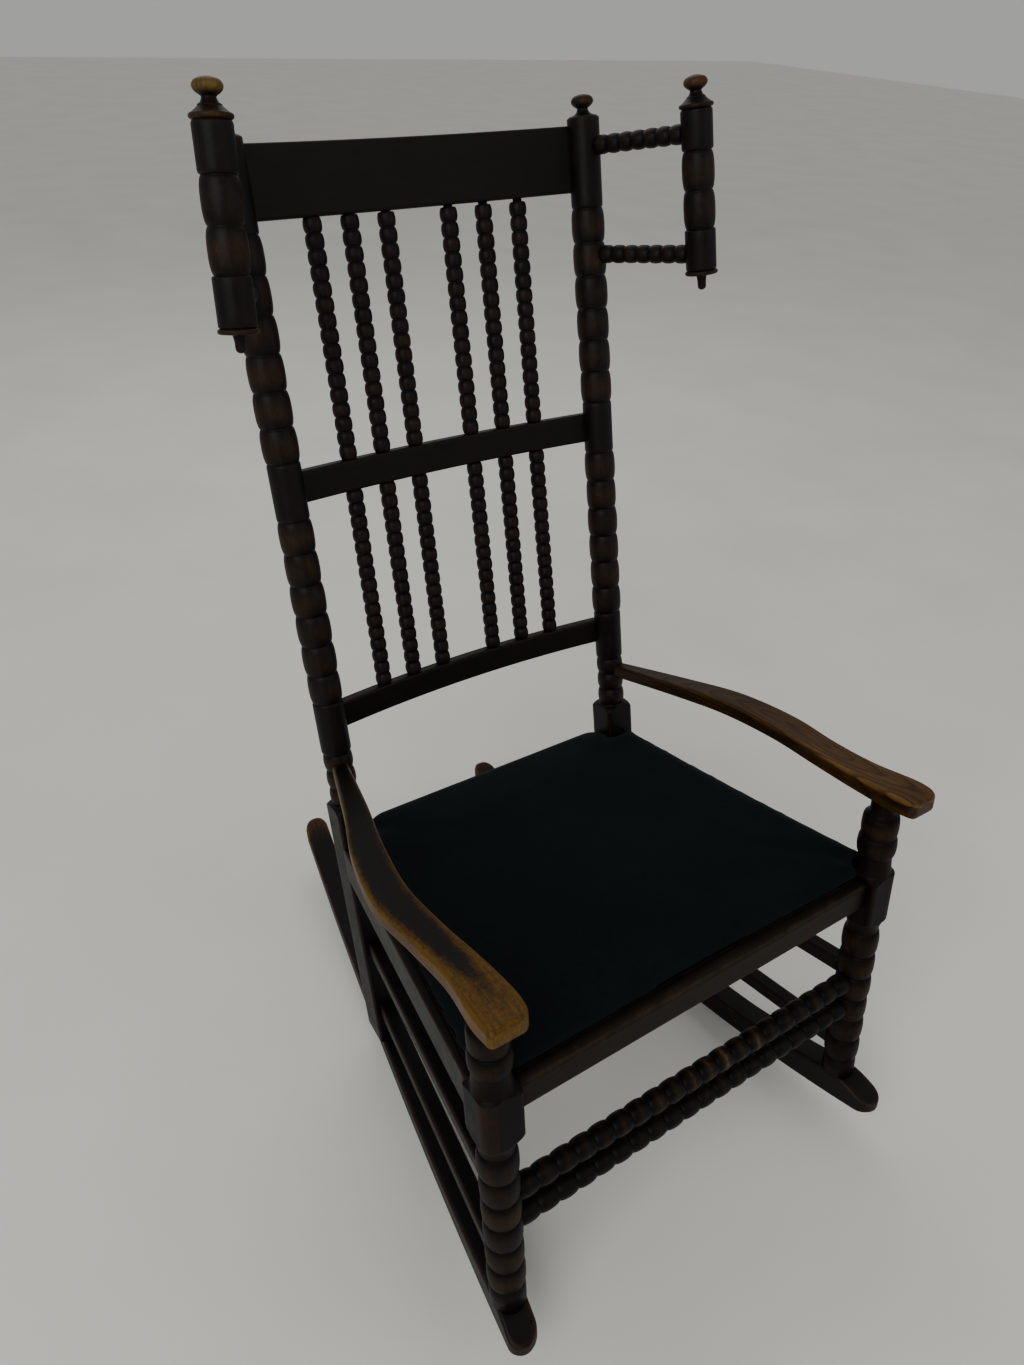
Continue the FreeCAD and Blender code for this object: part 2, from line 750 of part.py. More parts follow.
for name, shape in right_side.items():
    nodes[name + "_right"] = shape
    nodes[name + "_left"] = mirrored(shape)

nodes["seat_rail_front"] = front_rail()
nodes["seat_rail_back"] = back_rail()
nodes["front_stretcher_upper"] = stretcher_upper
nodes["front_stretcher_lower"] = stretcher_lower
nodes["back_stretcher"] = back_stretcher(0)
nodes["seat_board"] = seat_board()
nodes["seat_pad"] = seat_pad()

# The chair comes to rest with its centre of mass straight under the centre of the rockers' cylinder.
mass = 0
moment = Vec(0, 0, 0)
for name in nodes:
    shape = single(name, nodes[name])
    nodes[name] = shape
    weight = shape.Volume * (pad_density if name == "seat_pad" else wood_density)
    mass += weight
    moment += shape.CenterOfMass * weight
balance = moment * (1 / mass)
tilt = math.degrees(math.atan2(balance.y - rocker_centre, rocker_rise - balance.z))
rest = FreeCAD.Rotation(Vec(1, 0, 0), -tilt)
hub = rest.multVec(Vec(0, rocker_centre, rocker_rise))
rocked = FreeCAD.Placement(Vec(0, 0, rocker_radius - hub.z), rest)

placed = {}
whole = FreeCAD.BoundBox()
for name, shape in nodes.items():
    placed[name] = shape.copy()
    placed[name].Placement = rocked.multiply(shape.Placement)
    whole.add(placed[name].BoundBox)

os.makedirs("parts", exist_ok=True)
for name, shape in placed.items():
    shape.translate(Vec(0, -whole.Center.y, 0))
    shape.exportStep("parts/%s.step" % name)
print("balances tilted back %.2f degrees, shifted %.2f in y" % (tilt, -whole.Center.y))
print("%.1f wide, %.1f deep, %.1f high" % (whole.XLength, whole.YLength, whole.ZLength))
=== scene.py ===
import math
import random

import bpy
import numpy as np
from mathutils import Matrix, Vector


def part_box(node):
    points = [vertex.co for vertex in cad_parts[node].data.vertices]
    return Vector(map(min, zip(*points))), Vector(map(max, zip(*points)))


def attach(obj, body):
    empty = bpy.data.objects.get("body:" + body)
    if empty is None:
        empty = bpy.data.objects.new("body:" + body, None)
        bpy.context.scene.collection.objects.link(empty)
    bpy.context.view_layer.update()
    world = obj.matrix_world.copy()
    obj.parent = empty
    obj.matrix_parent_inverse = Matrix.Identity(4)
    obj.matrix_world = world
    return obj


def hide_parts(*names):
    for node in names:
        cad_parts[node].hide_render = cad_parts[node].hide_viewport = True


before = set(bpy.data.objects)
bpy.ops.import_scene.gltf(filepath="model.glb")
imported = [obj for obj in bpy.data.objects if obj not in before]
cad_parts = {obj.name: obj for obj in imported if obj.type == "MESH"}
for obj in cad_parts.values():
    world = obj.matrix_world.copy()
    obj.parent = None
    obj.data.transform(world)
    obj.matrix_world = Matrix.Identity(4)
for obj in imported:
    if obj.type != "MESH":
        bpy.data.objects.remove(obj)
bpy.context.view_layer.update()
scene = bpy.context.scene

# the chair is worked out square to its seat, in metres:
# x across, y back from the front posts, z up from the top of the seat rails
chair = {
    "stretcherUpper": -0.161,
    "seatDepth": 0.418,
    "recline": 4.8,
    "frontHalf": 0.257,
    "backHalf": 0.2065,
    "sides": {"left": -1, "right": 1},
}


def boxMiddle(node):
    low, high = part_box(node)
    return (low + high) / 2


def seatSpace():
    upper = boxMiddle("front_stretcher_upper")
    up = (upper - boxMiddle("front_stretcher_lower")).normalized()
    across = Vector((1, 0, 0))
    space = Matrix((across, up.cross(across), up)).transposed().to_4x4()
    space.translation = upper - up * chair["stretcherUpper"]
    return space


seat = seatSpace()
lean = math.radians(chair["recline"])
back = seat @ Matrix.Translation((0, chair["seatDepth"], 0)) @ Matrix.Rotation(-lean, 4, "X")


def towards(start, end):  # space with z from start to end
    run = end - start
    return Matrix.Translation(start) @ run.to_track_quat("Z", "Y").to_matrix().to_4x4()


# mesh making

grainSpread = 5  # no two pieces are cut from one spot


def makePiece(name, points, faces, wear, grain, place, material, stands, cut=None):
    mesh = bpy.data.meshes.new(name)
    mesh.from_pydata([tuple(p) for p in points], [], faces)
    mesh.transform(place)
    mesh.shade_smooth()
    shown = mesh.attributes.new("wear", "FLOAT", "POINT")
    shown.data.foreach_set("value", np.asarray(wear, np.float32))
    run = mesh.attributes.new("grain", "FLOAT_VECTOR", "POINT")
    shift = random.Random(name)
    spot = np.array([shift.uniform(-grainSpread, grainSpread) for axis in range(3)])
    if cut is not None:
        spot = np.array(cut)
    run.data.foreach_set("vector", (np.asarray(grain) + spot).astype(np.float32).ravel())
    mesh.materials.append(material)
    piece = bpy.data.objects.new(name, mesh)
    scene.collection.objects.link(piece)
    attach(piece, "root")
    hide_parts(*stands)
    return piece


def skin(rings):  # faces over rows of points, with a fan at each end
    count = len(rings)
    width = len(rings[0])
    faces = []
    for i in range(count - 1):
        for k in range(width):
            n = (k + 1) % width
            faces.append((i * width + k, i * width + n, (i + 1) * width + n, (i + 1) * width + k))
    points = np.concatenate([np.asarray(r) for r in rings])
    low = len(points)
    points = np.concatenate([points, [np.mean(rings[0], axis=0)], [np.mean(rings[-1], axis=0)]])
    for k in range(width):
        n = (k + 1) % width
        faces.append((low, n, k))
        faces.append((low + 1, (count - 1) * width + k, (count - 1) * width + n))
    return points, faces


def turnedPiece(name, profile, place, material, stands, sides=32, outline=None, ground=None):
    # profile rows are height, radius and wear; outline limits the radius where the stock stays square
    angles = np.arange(sides) * 2 * math.pi / sides
    rings = []
    wear = []
    for z, radius, worn in profile:
        reach = np.full(sides, radius)
        edge = np.full(sides, worn)
        if outline is not None:
            clipped = reach > outline[0]
            reach = np.minimum(reach, outline[0])
            edge = np.where(clipped, outline[1], worn)
        rings.append(np.stack([reach * np.cos(angles), reach * np.sin(angles), np.full(sides, z)], 1))
        wear.append(edge)
    if ground is not None:  # the lowest ring lies on what the piece stands on
        here = seat.inverted() @ place
        for point in rings[0]:
            found = here @ Vector(point)
            point[2] += (ground(found.y) - found.z) / here.col[2][2]
    points, faces = skin(rings)
    wear = np.concatenate(wear + [[profile[0][2]], [profile[-1][2]]])
    return makePiece(name, points, faces, wear, points, place, material, stands)


arris = {  # rounded edge of a bar, whose wear fades into the flats
    "corners": ((1, 1), (-1, 1), (-1, -1), (1, -1)), "points": 5, "mostRound": 0.98,
    "wearCurve": 0.7, "flatWear": 0.6, "fade": 0.005,
    "flatShares": (0.03, 0.1, 0.22, 0.4, 0.6, 0.78, 0.9, 0.97),
}


def barSection(halfWidth, halfHeight, rounding):
    rounding = min(rounding, halfWidth * arris["mostRound"], halfHeight * arris["mostRound"])

    def cornerPoint(turn, share):
        sx, sz = arris["corners"][turn % 4]
        a = math.pi / 2 * (turn + share)
        return (sx * (halfWidth - rounding) + rounding * math.cos(a),
                sz * (halfHeight - rounding) + rounding * math.sin(a))

    points = []
    wear = []
    for turn in range(4):
        for k in range(arris["points"]):
            share = k / (arris["points"] - 1)
            points.append(cornerPoint(turn, share))
            wear.append(math.sin(math.pi * share) ** arris["wearCurve"])
        sx, sz = points[-1]
        ex, ez = cornerPoint(turn + 1, 0)
        long = math.hypot(ex - sx, ez - sz)
        for share in arris["flatShares"]:
            points.append((sx * (1 - share) + ex * share, sz * (1 - share) + ez * share))
            wear.append(arris["flatWear"] * max(0, 1 - min(share, 1 - share) * long / arris["fade"]) ** 2)
    return points, wear


def barPiece(name, stations, place, material, stands, cut=None, wearAt=None):
    # each station is a middle, side and up vectors, half width, half height, rounding and added wear
    rings = []
    wear = []
    grain = []
    along = 0
    last = None
    for middle, side, up, halfWidth, halfHeight, rounding, worn in stations:
        if last is not None:
            along += (middle - last).length
        last = middle
        section, edge = barSection(halfWidth, halfHeight, rounding)
        rings.append(np.array([middle + side * x + up * z for x, z in section]))
        grain.append(np.array([(x, z, along) for x, z in section]))
        if wearAt is not None:
            edge = [wearAt(x, z, along, e) for (x, z), e in zip(section, edge)]
        wear.append(np.clip(np.array(edge) + worn, 0, 2))
    points, faces = skin(rings)
    grain = np.concatenate(grain + [[(0, 0, 0)], [(0, 0, along)]])
    wear = np.concatenate(wear + [[np.mean(wear[0])], [np.mean(wear[-1])]])
    return makePiece(name, points, faces, wear, grain, place, material, stands, cut)


beadShape = {"fullness": 0.55, "uneven": 0.012, "wearSpread": (0.55, 1.1)}


def bead(low, pitch, crest, groove, steps, barrel, wear, narrow):
    rows = []
    for k in range(steps):
        t = (1 - math.cos(math.pi * k / steps)) / 2
        swell = max(0, 1 - abs(2 * t - 1) ** barrel) ** beadShape["fullness"]
        rows.append((low + t * pitch, groove + (crest - groove) * swell, wear * swell ** narrow))
    return rows


def beadRow(low, count, pitch, crest, groove, dice, steps=10, barrel=2.6, wear=1.0, fade=0.0, narrow=3):
    uneven = beadShape["uneven"]  # turned by eye, so no two are the same
    rows = []
    for i in range(count):
        own = crest * (1 + dice.uniform(-uneven, uneven))
        midway = math.sin(math.pi * (i + 0.5) / count)
        worn = wear * dice.uniform(*beadShape["wearSpread"]) * (1 - fade + fade * midway)
        rows += bead(low + i * pitch, pitch, own, groove, steps, barrel, worn, narrow)
    return rows


plainShape = {"edgeSteps": 6, "spacing": 0.008, "flatWear": 0.5}


def plainTurn(low, high, radius, groove, edge=0.004, wear=0.35):
    steps = plainShape["edgeSteps"]
    turns = [math.pi / 2 * k / steps for k in range(steps)]
    rise = radius - groove
    rows = [(low + edge * (1 - math.cos(a)), groove + rise * math.sin(a), wear * math.sin(a)) for a in turns]
    length = high - low - 2 * edge
    span = max(2, int(length / plainShape["spacing"]))
    for k in range(span + 1):
        rows.append((low + edge + length * k / span, radius, wear * plainShape["flatWear"]))
    for a in turns[1:]:
        rows.append((high - edge + edge * math.sin(a), groove + rise * math.cos(a), wear * math.cos(a)))
    return rows


def smoothRow(points, steps=4):  # soft line through rows of height, radius and wear
    rows = []
    last = len(points) - 1
    for i in range(last):
        p = [np.array(points[min(max(j, 0), last)]) for j in (i - 1, i, i + 1, i + 2)]
        for k in range(steps):
            t = k / steps
            row = 0.5 * (2 * p[1] + (p[2] - p[0]) * t + (2 * p[0] - 5 * p[1] + 4 * p[2] - p[3]) * t * t
                         + (3 * p[1] - p[0] - 3 * p[2] + p[3]) * t ** 3)
            rows.append((row[0], max(row[1], 0.0005), row[2]))
    return rows + [tuple(points[-1])]


squareClear = 1.5  # a turning this many times the half width is past the corners of square stock
squareCornerWear = 0.8


def squareOutline(half, rounds, sides):
    # radius of a square with rounded corners at each angle, and its worn corners
    angles = np.arange(sides) * 2 * math.pi / sides
    radius = []
    wear = []
    for a in angles:
        c, s = math.cos(a), math.sin(a)
        r = half / max(abs(c), abs(s))
        corner = rounds[(c > 0, s > 0)]
        cx = math.copysign(half - corner, c)
        cy = math.copysign(half - corner, s)
        x, y = r * c, r * s
        worn = 0.0
        if abs(x) > half - corner and abs(y) > half - corner:
            b = c * cx + s * cy
            r = b + math.sqrt(max(0, b * b - cx * cx - cy * cy + corner * corner))
            worn = squareCornerWear
        radius.append(r)
        wear.append(worn)
    return np.array(radius), np.array(wear)


# materials

def newFinish(name):
    finish = bpy.data.materials.new(name)
    finish.use_nodes = True
    tree = finish.node_tree
    tree.nodes.clear()
    output = tree.nodes.new("ShaderNodeOutputMaterial")
    shader = tree.nodes.new("ShaderNodeBsdfPrincipled")
    tree.links.new(shader.outputs["BSDF"], output.inputs["Surface"])
    return finish, tree, shader


def addNode(tree, kind, values=None, **settings):
    node = tree.nodes.new(kind)
    for key, value in settings.items():
        setattr(node, key, value)
    for key, value in (values or {}).items():
        if isinstance(value, bpy.types.NodeSocket):
            tree.links.new(value, node.inputs[key])
        else:
            node.inputs[key].default_value = value
    return node


def sums(tree, operation, a, b):
    return addNode(tree, "ShaderNodeMath", {0: a, 1: b}, operation=operation).outputs[0]


def ramp(tree, factor, stops):
    node = addNode(tree, "ShaderNodeValToRGB", {"Fac": factor})
    colours = node.color_ramp.elements
    while len(colours) < len(stops):
        colours.new(0.5)
    for element, (place, colour) in zip(colours, stops):
        element.position = place
        element.color = (*colour, 1)
    return node.outputs["Color"]


def noise(tree, place, scale, detail, roughness=0.65):
    return addNode(tree, "ShaderNodeTexNoise", {
        "Vector": place, "Scale": scale, "Detail": detail, "Roughness": roughness}).outputs["Fac"]


def swing(tree, start, *parts):  # start, moved by each part's share of its distance from one half
    for part, share in parts:
        start = sums(tree, "ADD", start, sums(tree, "MULTIPLY", sums(tree, "SUBTRACT", part, 0.5), share))
    return start


def times(tree, colour, other, factor):
    values = {0: factor, 6: colour, 7: other}
    return addNode(tree, "ShaderNodeMix", values, data_type="RGBA", blend_type="MULTIPLY").outputs[2]


woodGrain = {
    "streakTint": ((0.3, (0.6, 0.57, 0.55)), (0.62, (1, 1, 1))),
    "ringTint": (
        (0.0, (1, 1, 1)),
        (0.6, (0.86, 0.82, 0.78)),
        (0.86, (0.36, 0.3, 0.26)),
        (1.0, (0.8, 0.76, 0.7)),
    ),
    "ringTurn": 0.03, "ringWaver": 3.2, "ringDetail": 3, "ringDetailScale": 0.35, "ringDetailRoughness": 0.6,
    "patchRough": 0.25, "scuffRough": 0.12, "scuffHeight": 0.5, "bumpDepth": 0.0006, "coatRough": 0.32,
}


def ringLines(tree, place, look):
    turned = {"Vector": place, "Rotation": (look["tilt"], woodGrain["ringTurn"], 0)}
    tilted = addNode(tree, "ShaderNodeMapping", turned).outputs[0]
    rings = addNode(tree, "ShaderNodeTexWave", {
        "Vector": tilted, "Scale": look["rings"], "Distortion": woodGrain["ringWaver"],
        "Detail": woodGrain["ringDetail"], "Detail Scale": woodGrain["ringDetailScale"],
        "Detail Roughness": woodGrain["ringDetailRoughness"],
    }, wave_type="RINGS", rings_direction="Z", wave_profile="SAW").outputs["Fac"]
    return ramp(tree, rings, woodGrain["ringTint"])


def woodFinish(name, look):
    finish, tree, shader = newFinish(name)
    if look.get("cad"):
        place = addNode(tree, "ShaderNodeTexCoord").outputs["Object"]
    else:
        place = addNode(tree, "ShaderNodeAttribute", attribute_name="grain").outputs["Vector"]
    # the wear attribute is mostly real wear; on the right arm's side faces it also holds painted shade, and on
    # the front stretchers' crests painted highlight
    worn = addNode(tree, "ShaderNodeAttribute", attribute_name="wear").outputs["Fac"]
    drawn = addNode(tree, "ShaderNodeMapping", {"Vector": place, "Scale": (1, 1, look["stretch"])}).outputs[0]
    streaks = noise(tree, drawn, look["streakScale"], 5)
    pores = noise(tree, drawn, look["poreScale"], 3)
    patches = noise(tree, place, look["patchScale"], 4)
    scuffs = noise(tree, place, look["scuffScale"], 4, 0.7)
    amount = sums(tree, "ADD", sums(tree, "MULTIPLY", worn, look["wear"]), look["base"])
    amount = swing(tree, amount, (patches, look["patchShare"]), (scuffs, look["scuffShare"]),
                   (streaks, look["streakShare"]))
    colour = ramp(tree, amount, look["colours"])
    colour = times(tree, colour, ramp(tree, streaks, woodGrain["streakTint"]), look["grainShare"])
    if look.get("rings"):
        colour = times(tree, colour, ringLines(tree, place, look), look["ringShare"])
    tree.links.new(colour, shader.inputs["Base Color"])
    rough = swing(tree, look["roughness"], (patches, woodGrain["patchRough"]), (scuffs, woodGrain["scuffRough"]))
    tree.links.new(rough, shader.inputs["Roughness"])
    height = sums(tree, "ADD", sums(tree, "MULTIPLY", scuffs, woodGrain["scuffHeight"]), pores)
    bump = addNode(tree, "ShaderNodeBump", {
        "Strength": look["bump"], "Distance": woodGrain["bumpDepth"], "Height": height})
    tree.links.new(bump.outputs[0], shader.inputs["Normal"])
    shader.inputs["Coat Weight"].default_value = look["coat"]
    shader.inputs["Coat Roughness"].default_value = woodGrain["coatRough"]
    shader.inputs["Specular IOR Level"].default_value = look["gloss"]
    return finish


stainLook = {
    "stretch": 0.05, "streakScale": 330, "poreScale": 900, "patchScale": 38, "scuffScale": 190,
    "wear": 0.34, "base": 0.19, "patchShare": 0.6, "streakShare": 0.16, "scuffShare": 0.36, "grainShare": 0.5,
    "colours": (
        (0.0, (0.0024, 0.0017, 0.0012)),
        (0.34, (0.0064, 0.0042, 0.0027)),
        (0.58, (0.02, 0.0099, 0.0048)),
        (0.78, (0.06, 0.0285, 0.0115)),
        (1.0, (0.15, 0.094, 0.022)),
    ),
    "roughness": 0.48, "bump": 0.3, "coat": 0.02, "gloss": 0.12,
}
stain = woodFinish("stainedWood", stainLook)
railStain = woodFinish("stainedRail", dict(stainLook, base=0.15, patchShare=0.4, wear=0.28))
frontStain = woodFinish("stainedFrontRail", dict(
    stainLook, base=0.4, patchShare=0.4, wear=0.2, gloss=0.07, colours=(
        (0.0, (0.003, 0.0022, 0.0016)),
        (0.5, (0.0115, 0.0076, 0.0048)),
        (0.75, (0.036, 0.023, 0.0135)),
        (1.0, (0.1, 0.066, 0.036)),
    )))
# front posts: the same stain with less gloss and coat, so they show darker: painted shade
postStainShaded = woodFinish("stainedFrontPost", dict(stainLook, gloss=0.06, coat=0.01))
# front stretchers: a less glossy copy of the stain, darker as painted shade, with pale tan top colours for crest
# stripes that are partly real wear and partly painted highlight
stretcherStainShadeAndHighlight = woodFinish("stainedStretcherShadeAndHighlight", dict(
    stainLook, gloss=0.08, colours=(
        (0.0, (0.0024, 0.0017, 0.0012)),
        (0.36, (0.0062, 0.0042, 0.0028)),
        (0.6, (0.021, 0.0118, 0.0062)),
        (0.8, (0.068, 0.043, 0.022)),
        (1.0, (0.16, 0.112, 0.062)),
    )))
stainedCad = woodFinish("stainedWoodPlain", dict(stainLook, cad=True, base=0.18))
leftArmWood = woodFinish("wornArmLeft", dict(
    stainLook, wear=1.0, base=0.0, patchShare=0.75, patchScale=75, scuffShare=0.85, scuffScale=240,
    streakShare=0.2, grainShare=0.6, colours=(
        (0.0, (0.0056, 0.0042, 0.003)),
        (0.46, (0.0086, 0.0057, 0.0032)),
        (0.5, (0.028, 0.0131, 0.0021)),
        (0.7, (0.057, 0.0262, 0.0026)),
        (1.0, (0.12, 0.06, 0.006)),
    ), roughness=0.42, coat=0.03, gloss=0.12, rings=75, ringShare=0.3, tilt=0.06))
rightArmWood = woodFinish("wornArmRight", dict(
    stainLook, wear=0.6, base=0.3, patchShare=0.35, patchScale=16, streakShare=0.25, streakScale=260,
    scuffShare=0.15, grainShare=0.9, colours=(
        (0.0, (0.006, 0.0034, 0.0017)),
        (0.3, (0.022, 0.0102, 0.0034)),
        (0.6, (0.084, 0.038, 0.0082)),
        (1.0, (0.22, 0.115, 0.024)),
    ), roughness=0.42, coat=0.03, gloss=0.14, rings=62, ringShare=0.95, tilt=0.13))
print("finishes made")

# bobbin turnings

bobbin = {
    "crest": 0.0099, "groove": 0.0073, "barrel": 2.1, "spindle": 16, "wing": 7,
    "tenon": 0.009, "tenonShare": 0.7, "steps": 8, "sides": 20,
}


def bobbinPiece(name, node, start, end, count, crest, groove, wear=0.75, fade=0.0, narrow=3, finish=stain):
    length, tenon, plain = (end - start).length, bobbin["tenon"], groove * bobbin["tenonShare"]
    rows = [(-tenon, plain, 0), (0, plain, 0)]
    rows += beadRow(0, count, length / count, crest, groove, random.Random(name), bobbin["steps"],
                    bobbin["barrel"], wear, fade, narrow)
    rows += [(length, plain, 0), (length + tenon, plain, 0)]
    return turnedPiece(name, rows, towards(start, end), finish, [node], bobbin["sides"])


backRails = {
    "thick": 0.015, "bow": 0.019, "setback": 0.008, "rounding": 0.0028, "reach": 0.2005, "steps": 40,
    "rack": {"top_rail": 0.0028}, "rackFrom": 0.4,  # the top rail rises to the right
    "rails": {"top_rail": (0.7343, 0.067), "middle_rail": (0.4394, 0.0345), "lower_rail": (0.1637, 0.032)},
    "spindlesAt": (-0.1241, -0.0809, -0.0377, 0.0377, 0.0809, 0.1241),
}
bowRadius = (chair["backHalf"] ** 2 + backRails["bow"] ** 2) / (2 * backRails["bow"])


def bowAt(x):
    return backRails["setback"] + backRails["bow"] - bowRadius + math.sqrt(bowRadius ** 2 - x * x)


def makeBackRails():
    b = backRails
    for node, (at, height) in b["rails"].items():
        stations = []
        for k in range(b["steps"] + 1):
            x = b["reach"] * (2 * k / b["steps"] - 1)
            slope = -x / math.sqrt(bowRadius ** 2 - x * x)
            across = Vector((1, slope, 0)).normalized()
            side = Vector((-across.y, across.x, 0))
            lift = b["rack"].get(node, 0) * (x / b["reach"] + b["rackFrom"])
            stations.append((Vector((x, bowAt(x), at + lift)), side, Vector((0, 0, 1)), b["thick"] / 2,
                             height / 2, b["rounding"], 0.0))
        barPiece("bowed_" + node, stations, back, railStain, [node])


def makeSpindles():
    rails = backRails["rails"]
    top, middle, lower = rails["top_rail"], rails["middle_rail"], rails["lower_rail"]
    tiers = {
        "upper": (middle[0] + middle[1] / 2, top[0] - top[1] / 2),
        "lower": (lower[0] + lower[1] / 2, middle[0] - middle[1] / 2),
    }
    for tier, (low, high) in tiers.items():
        for i, x in enumerate(backRails["spindlesAt"]):
            node = "spindle_%s_%d" % (tier, i + 1)
            start = back @ Vector((x, bowAt(x), low))
            end = back @ Vector((x, bowAt(x), high))
            bobbinPiece("bobbin_" + node, node, start, end, bobbin["spindle"], bobbin["crest"],
                        bobbin["groove"])


makeBackRails()
makeSpindles()
print("back rails and spindles made")

# rockers

rocker = {
    "radius": 1.4, "rise": 1.031, "centre": 0.1195, "half": 0.018, "leg": 0.3332, "backOut": 0.0035,
    "front": {"left": -0.048, "right": -0.058}, "tail": {"left": 0.357, "right": 0.345},
    "nose": 0.017, "noseSteps": 10, "steps": 90, "narrowest": 0.1, "rounding": 0.0045, "roundBy": 1.5,
    "tipShare": 0.72, "tallBy": 1.4, "toeWear": (0.4, 0.05), "tailWear": (1.5, 0.06),  # wear, over this length
    "along": (0, 0.012, 0.03, 0.047, 0.075, 0.12, 0.2, 0.4, 0.8),  # from the toe back
    "depth": (0.015, 0.022, 0.0335, 0.0395, 0.0405, 0.036, 0.031, 0.03, 0.027), "ease": (0.009, 9),
}
backFoot = chair["seatDepth"] - rocker["leg"] * math.sin(lean)


def rockerBottom(y):
    return rocker["rise"] - math.sqrt(rocker["radius"] ** 2 - (y - rocker["centre"]) ** 2)


def rockerDepth(y, word):
    ease, count = rocker["ease"]
    near = y - rocker["front"][word] + np.linspace(-ease, ease, count)
    return float(np.mean(np.interp(near, rocker["along"], rocker["depth"])))


def rockerTop(word):
    return lambda y: rockerBottom(y) + rockerDepth(y, word)


def rockerMiddle(y):
    return chair["frontHalf"] + (chair["backHalf"] - rocker["backOut"] - chair["frontHalf"]) * y / backFoot


def makeRockers():
    r = rocker
    nose, steps = r["nose"], r["steps"]
    turns = [math.pi / 2 * k / r["noseSteps"] for k in range(r["noseSteps"] + 1)]
    for word, side in chair["sides"].items():
        front, rear = r["front"][word], backFoot + r["tail"][word]
        first, last = front + nose, rear - nose
        places = [(first - nose * math.cos(a), math.sin(a)) for a in turns[:-1]]
        places += [(first + (last - first) * k / steps, 1.0) for k in range(steps + 1)]
        places += [(last + nose * math.sin(a), math.cos(a)) for a in turns[1:]]
        stations = []
        for y, share in places:
            share = max(share, r["narrowest"])
            depth = rockerDepth(y, word)
            tall = depth / 2 * (r["tipShare"] + (1 - r["tipShare"]) * min(1, share * r["tallBy"]))
            middle = Vector((side * rockerMiddle(y), y, rockerBottom(y) + depth / 2))
            worn = 0
            for away, (most, reach) in ((y - front, r["toeWear"]), (rear - y, r["tailWear"])):
                worn += most * max(0, 1 - away / reach)
            stations.append((middle, Vector((1, 0, 0)), Vector((0, 0, 1)), r["half"] * share, tall,
                             r["rounding"] * min(1, share * r["roundBy"]), worn))
        node = "rocker_" + word
        barPiece("shaped_" + node, stations, seat, stain, [node])


peg = {
    "radius": 0.005, "at": -0.3232, "proud": 0.0006, "sides": 24,
    "end": ((0, 0.12, 0.3), (0.0002, 0.7, 0.5), (0.0012, 1, 0.4)),  # depth, share of the radius, wear
}


def makePegs():
    p = peg
    half = rocker["half"] + p["proud"]
    end = smoothRow([(-half + depth, p["radius"] * share, worn) for depth, share, worn in p["end"]])
    rows = end + [(-z, radius, worn) for z, radius, worn in end[::-1]]
    for word, side in chair["sides"].items():
        found = seat.inverted() @ back @ Vector((side * chair["backHalf"], 0, p["at"]))
        spot = Matrix.Translation((side * rockerMiddle(found.y), found.y, found.z))
        place = seat @ spot @ Matrix.Rotation(math.pi / 2, 4, "Y")
        node = "rocker_pin_" + word
        turnedPiece("peg_" + node, rows, place, stain, [node], p["sides"])


makeRockers()
makePegs()
print("rockers made")

# finials and posts

finial = {
    "dome": 0.005, "collar": 0.0098, "neck": 0.006, "neckAt": 0.0054,
    "cap": 0.01235, "capAt": 0.0132, "height": 0.0202,
}


def finialRows(low, body, wear=1.0):  # a domed shoulder on a body, then the knob
    f = finial
    shoulder = [
        (low - f["dome"], body, 0.6),
        (low - f["dome"] * 0.6, body * 0.985, 0.7),
        (low - f["dome"] * 0.2, body * 0.82, 0.4),
        (low, f["collar"] * 1.05, 0.3),
    ]
    knob = [
        (low + 0.0008, f["collar"], 0.5),
        (low + 0.0022, f["collar"] * 0.78, 0.4),
        (low + f["neckAt"], f["neck"], 0.2),
        (low + f["neckAt"] + 0.0016, f["neck"] * 1.15, 0.3),
        (low + f["capAt"] - 0.0042, f["cap"] * 0.8, wear * 0.7),
        (low + f["capAt"] - 0.0015, f["cap"] * 0.98, wear),
        (low + f["capAt"] + 0.0015, f["cap"] * 0.985, wear),
        (low + f["capAt"] + 0.0045, f["cap"] * 0.8, wear),
        (low + f["height"] - 0.0008, f["cap"] * 0.42, wear),
        (low + f["height"], f["cap"] * 0.06, wear),
    ]
    return smoothRow(shoulder) + smoothRow(knob, 5)


backPost = {
    "half": 0.02, "corner": 0.0022, "leg": -0.325, "legRows": (0, 0.03, 0.06, 0.1, 0.15, 0.2, 0.25, 0.3),
    "blockTop": 0.039, "blockEase": 0.01, "shoulderSteps": 13, "shoulderWear": 0.7,
    "rings": 0.0525, "neck": 0.0145, "ring": (3, 0.0239, 0.018), "ringBarrel": 2.0,
    "plain": 0.018, "bead": (6, 0.0362, 0.01925), "groove": 0.0163, "lowPlain": 0.067, "middlePlain": 0.062,
    "topPlain": {"left": 0.0855, "right": 0.0935}, "underDome": 0.0005, "sides": 64,
}


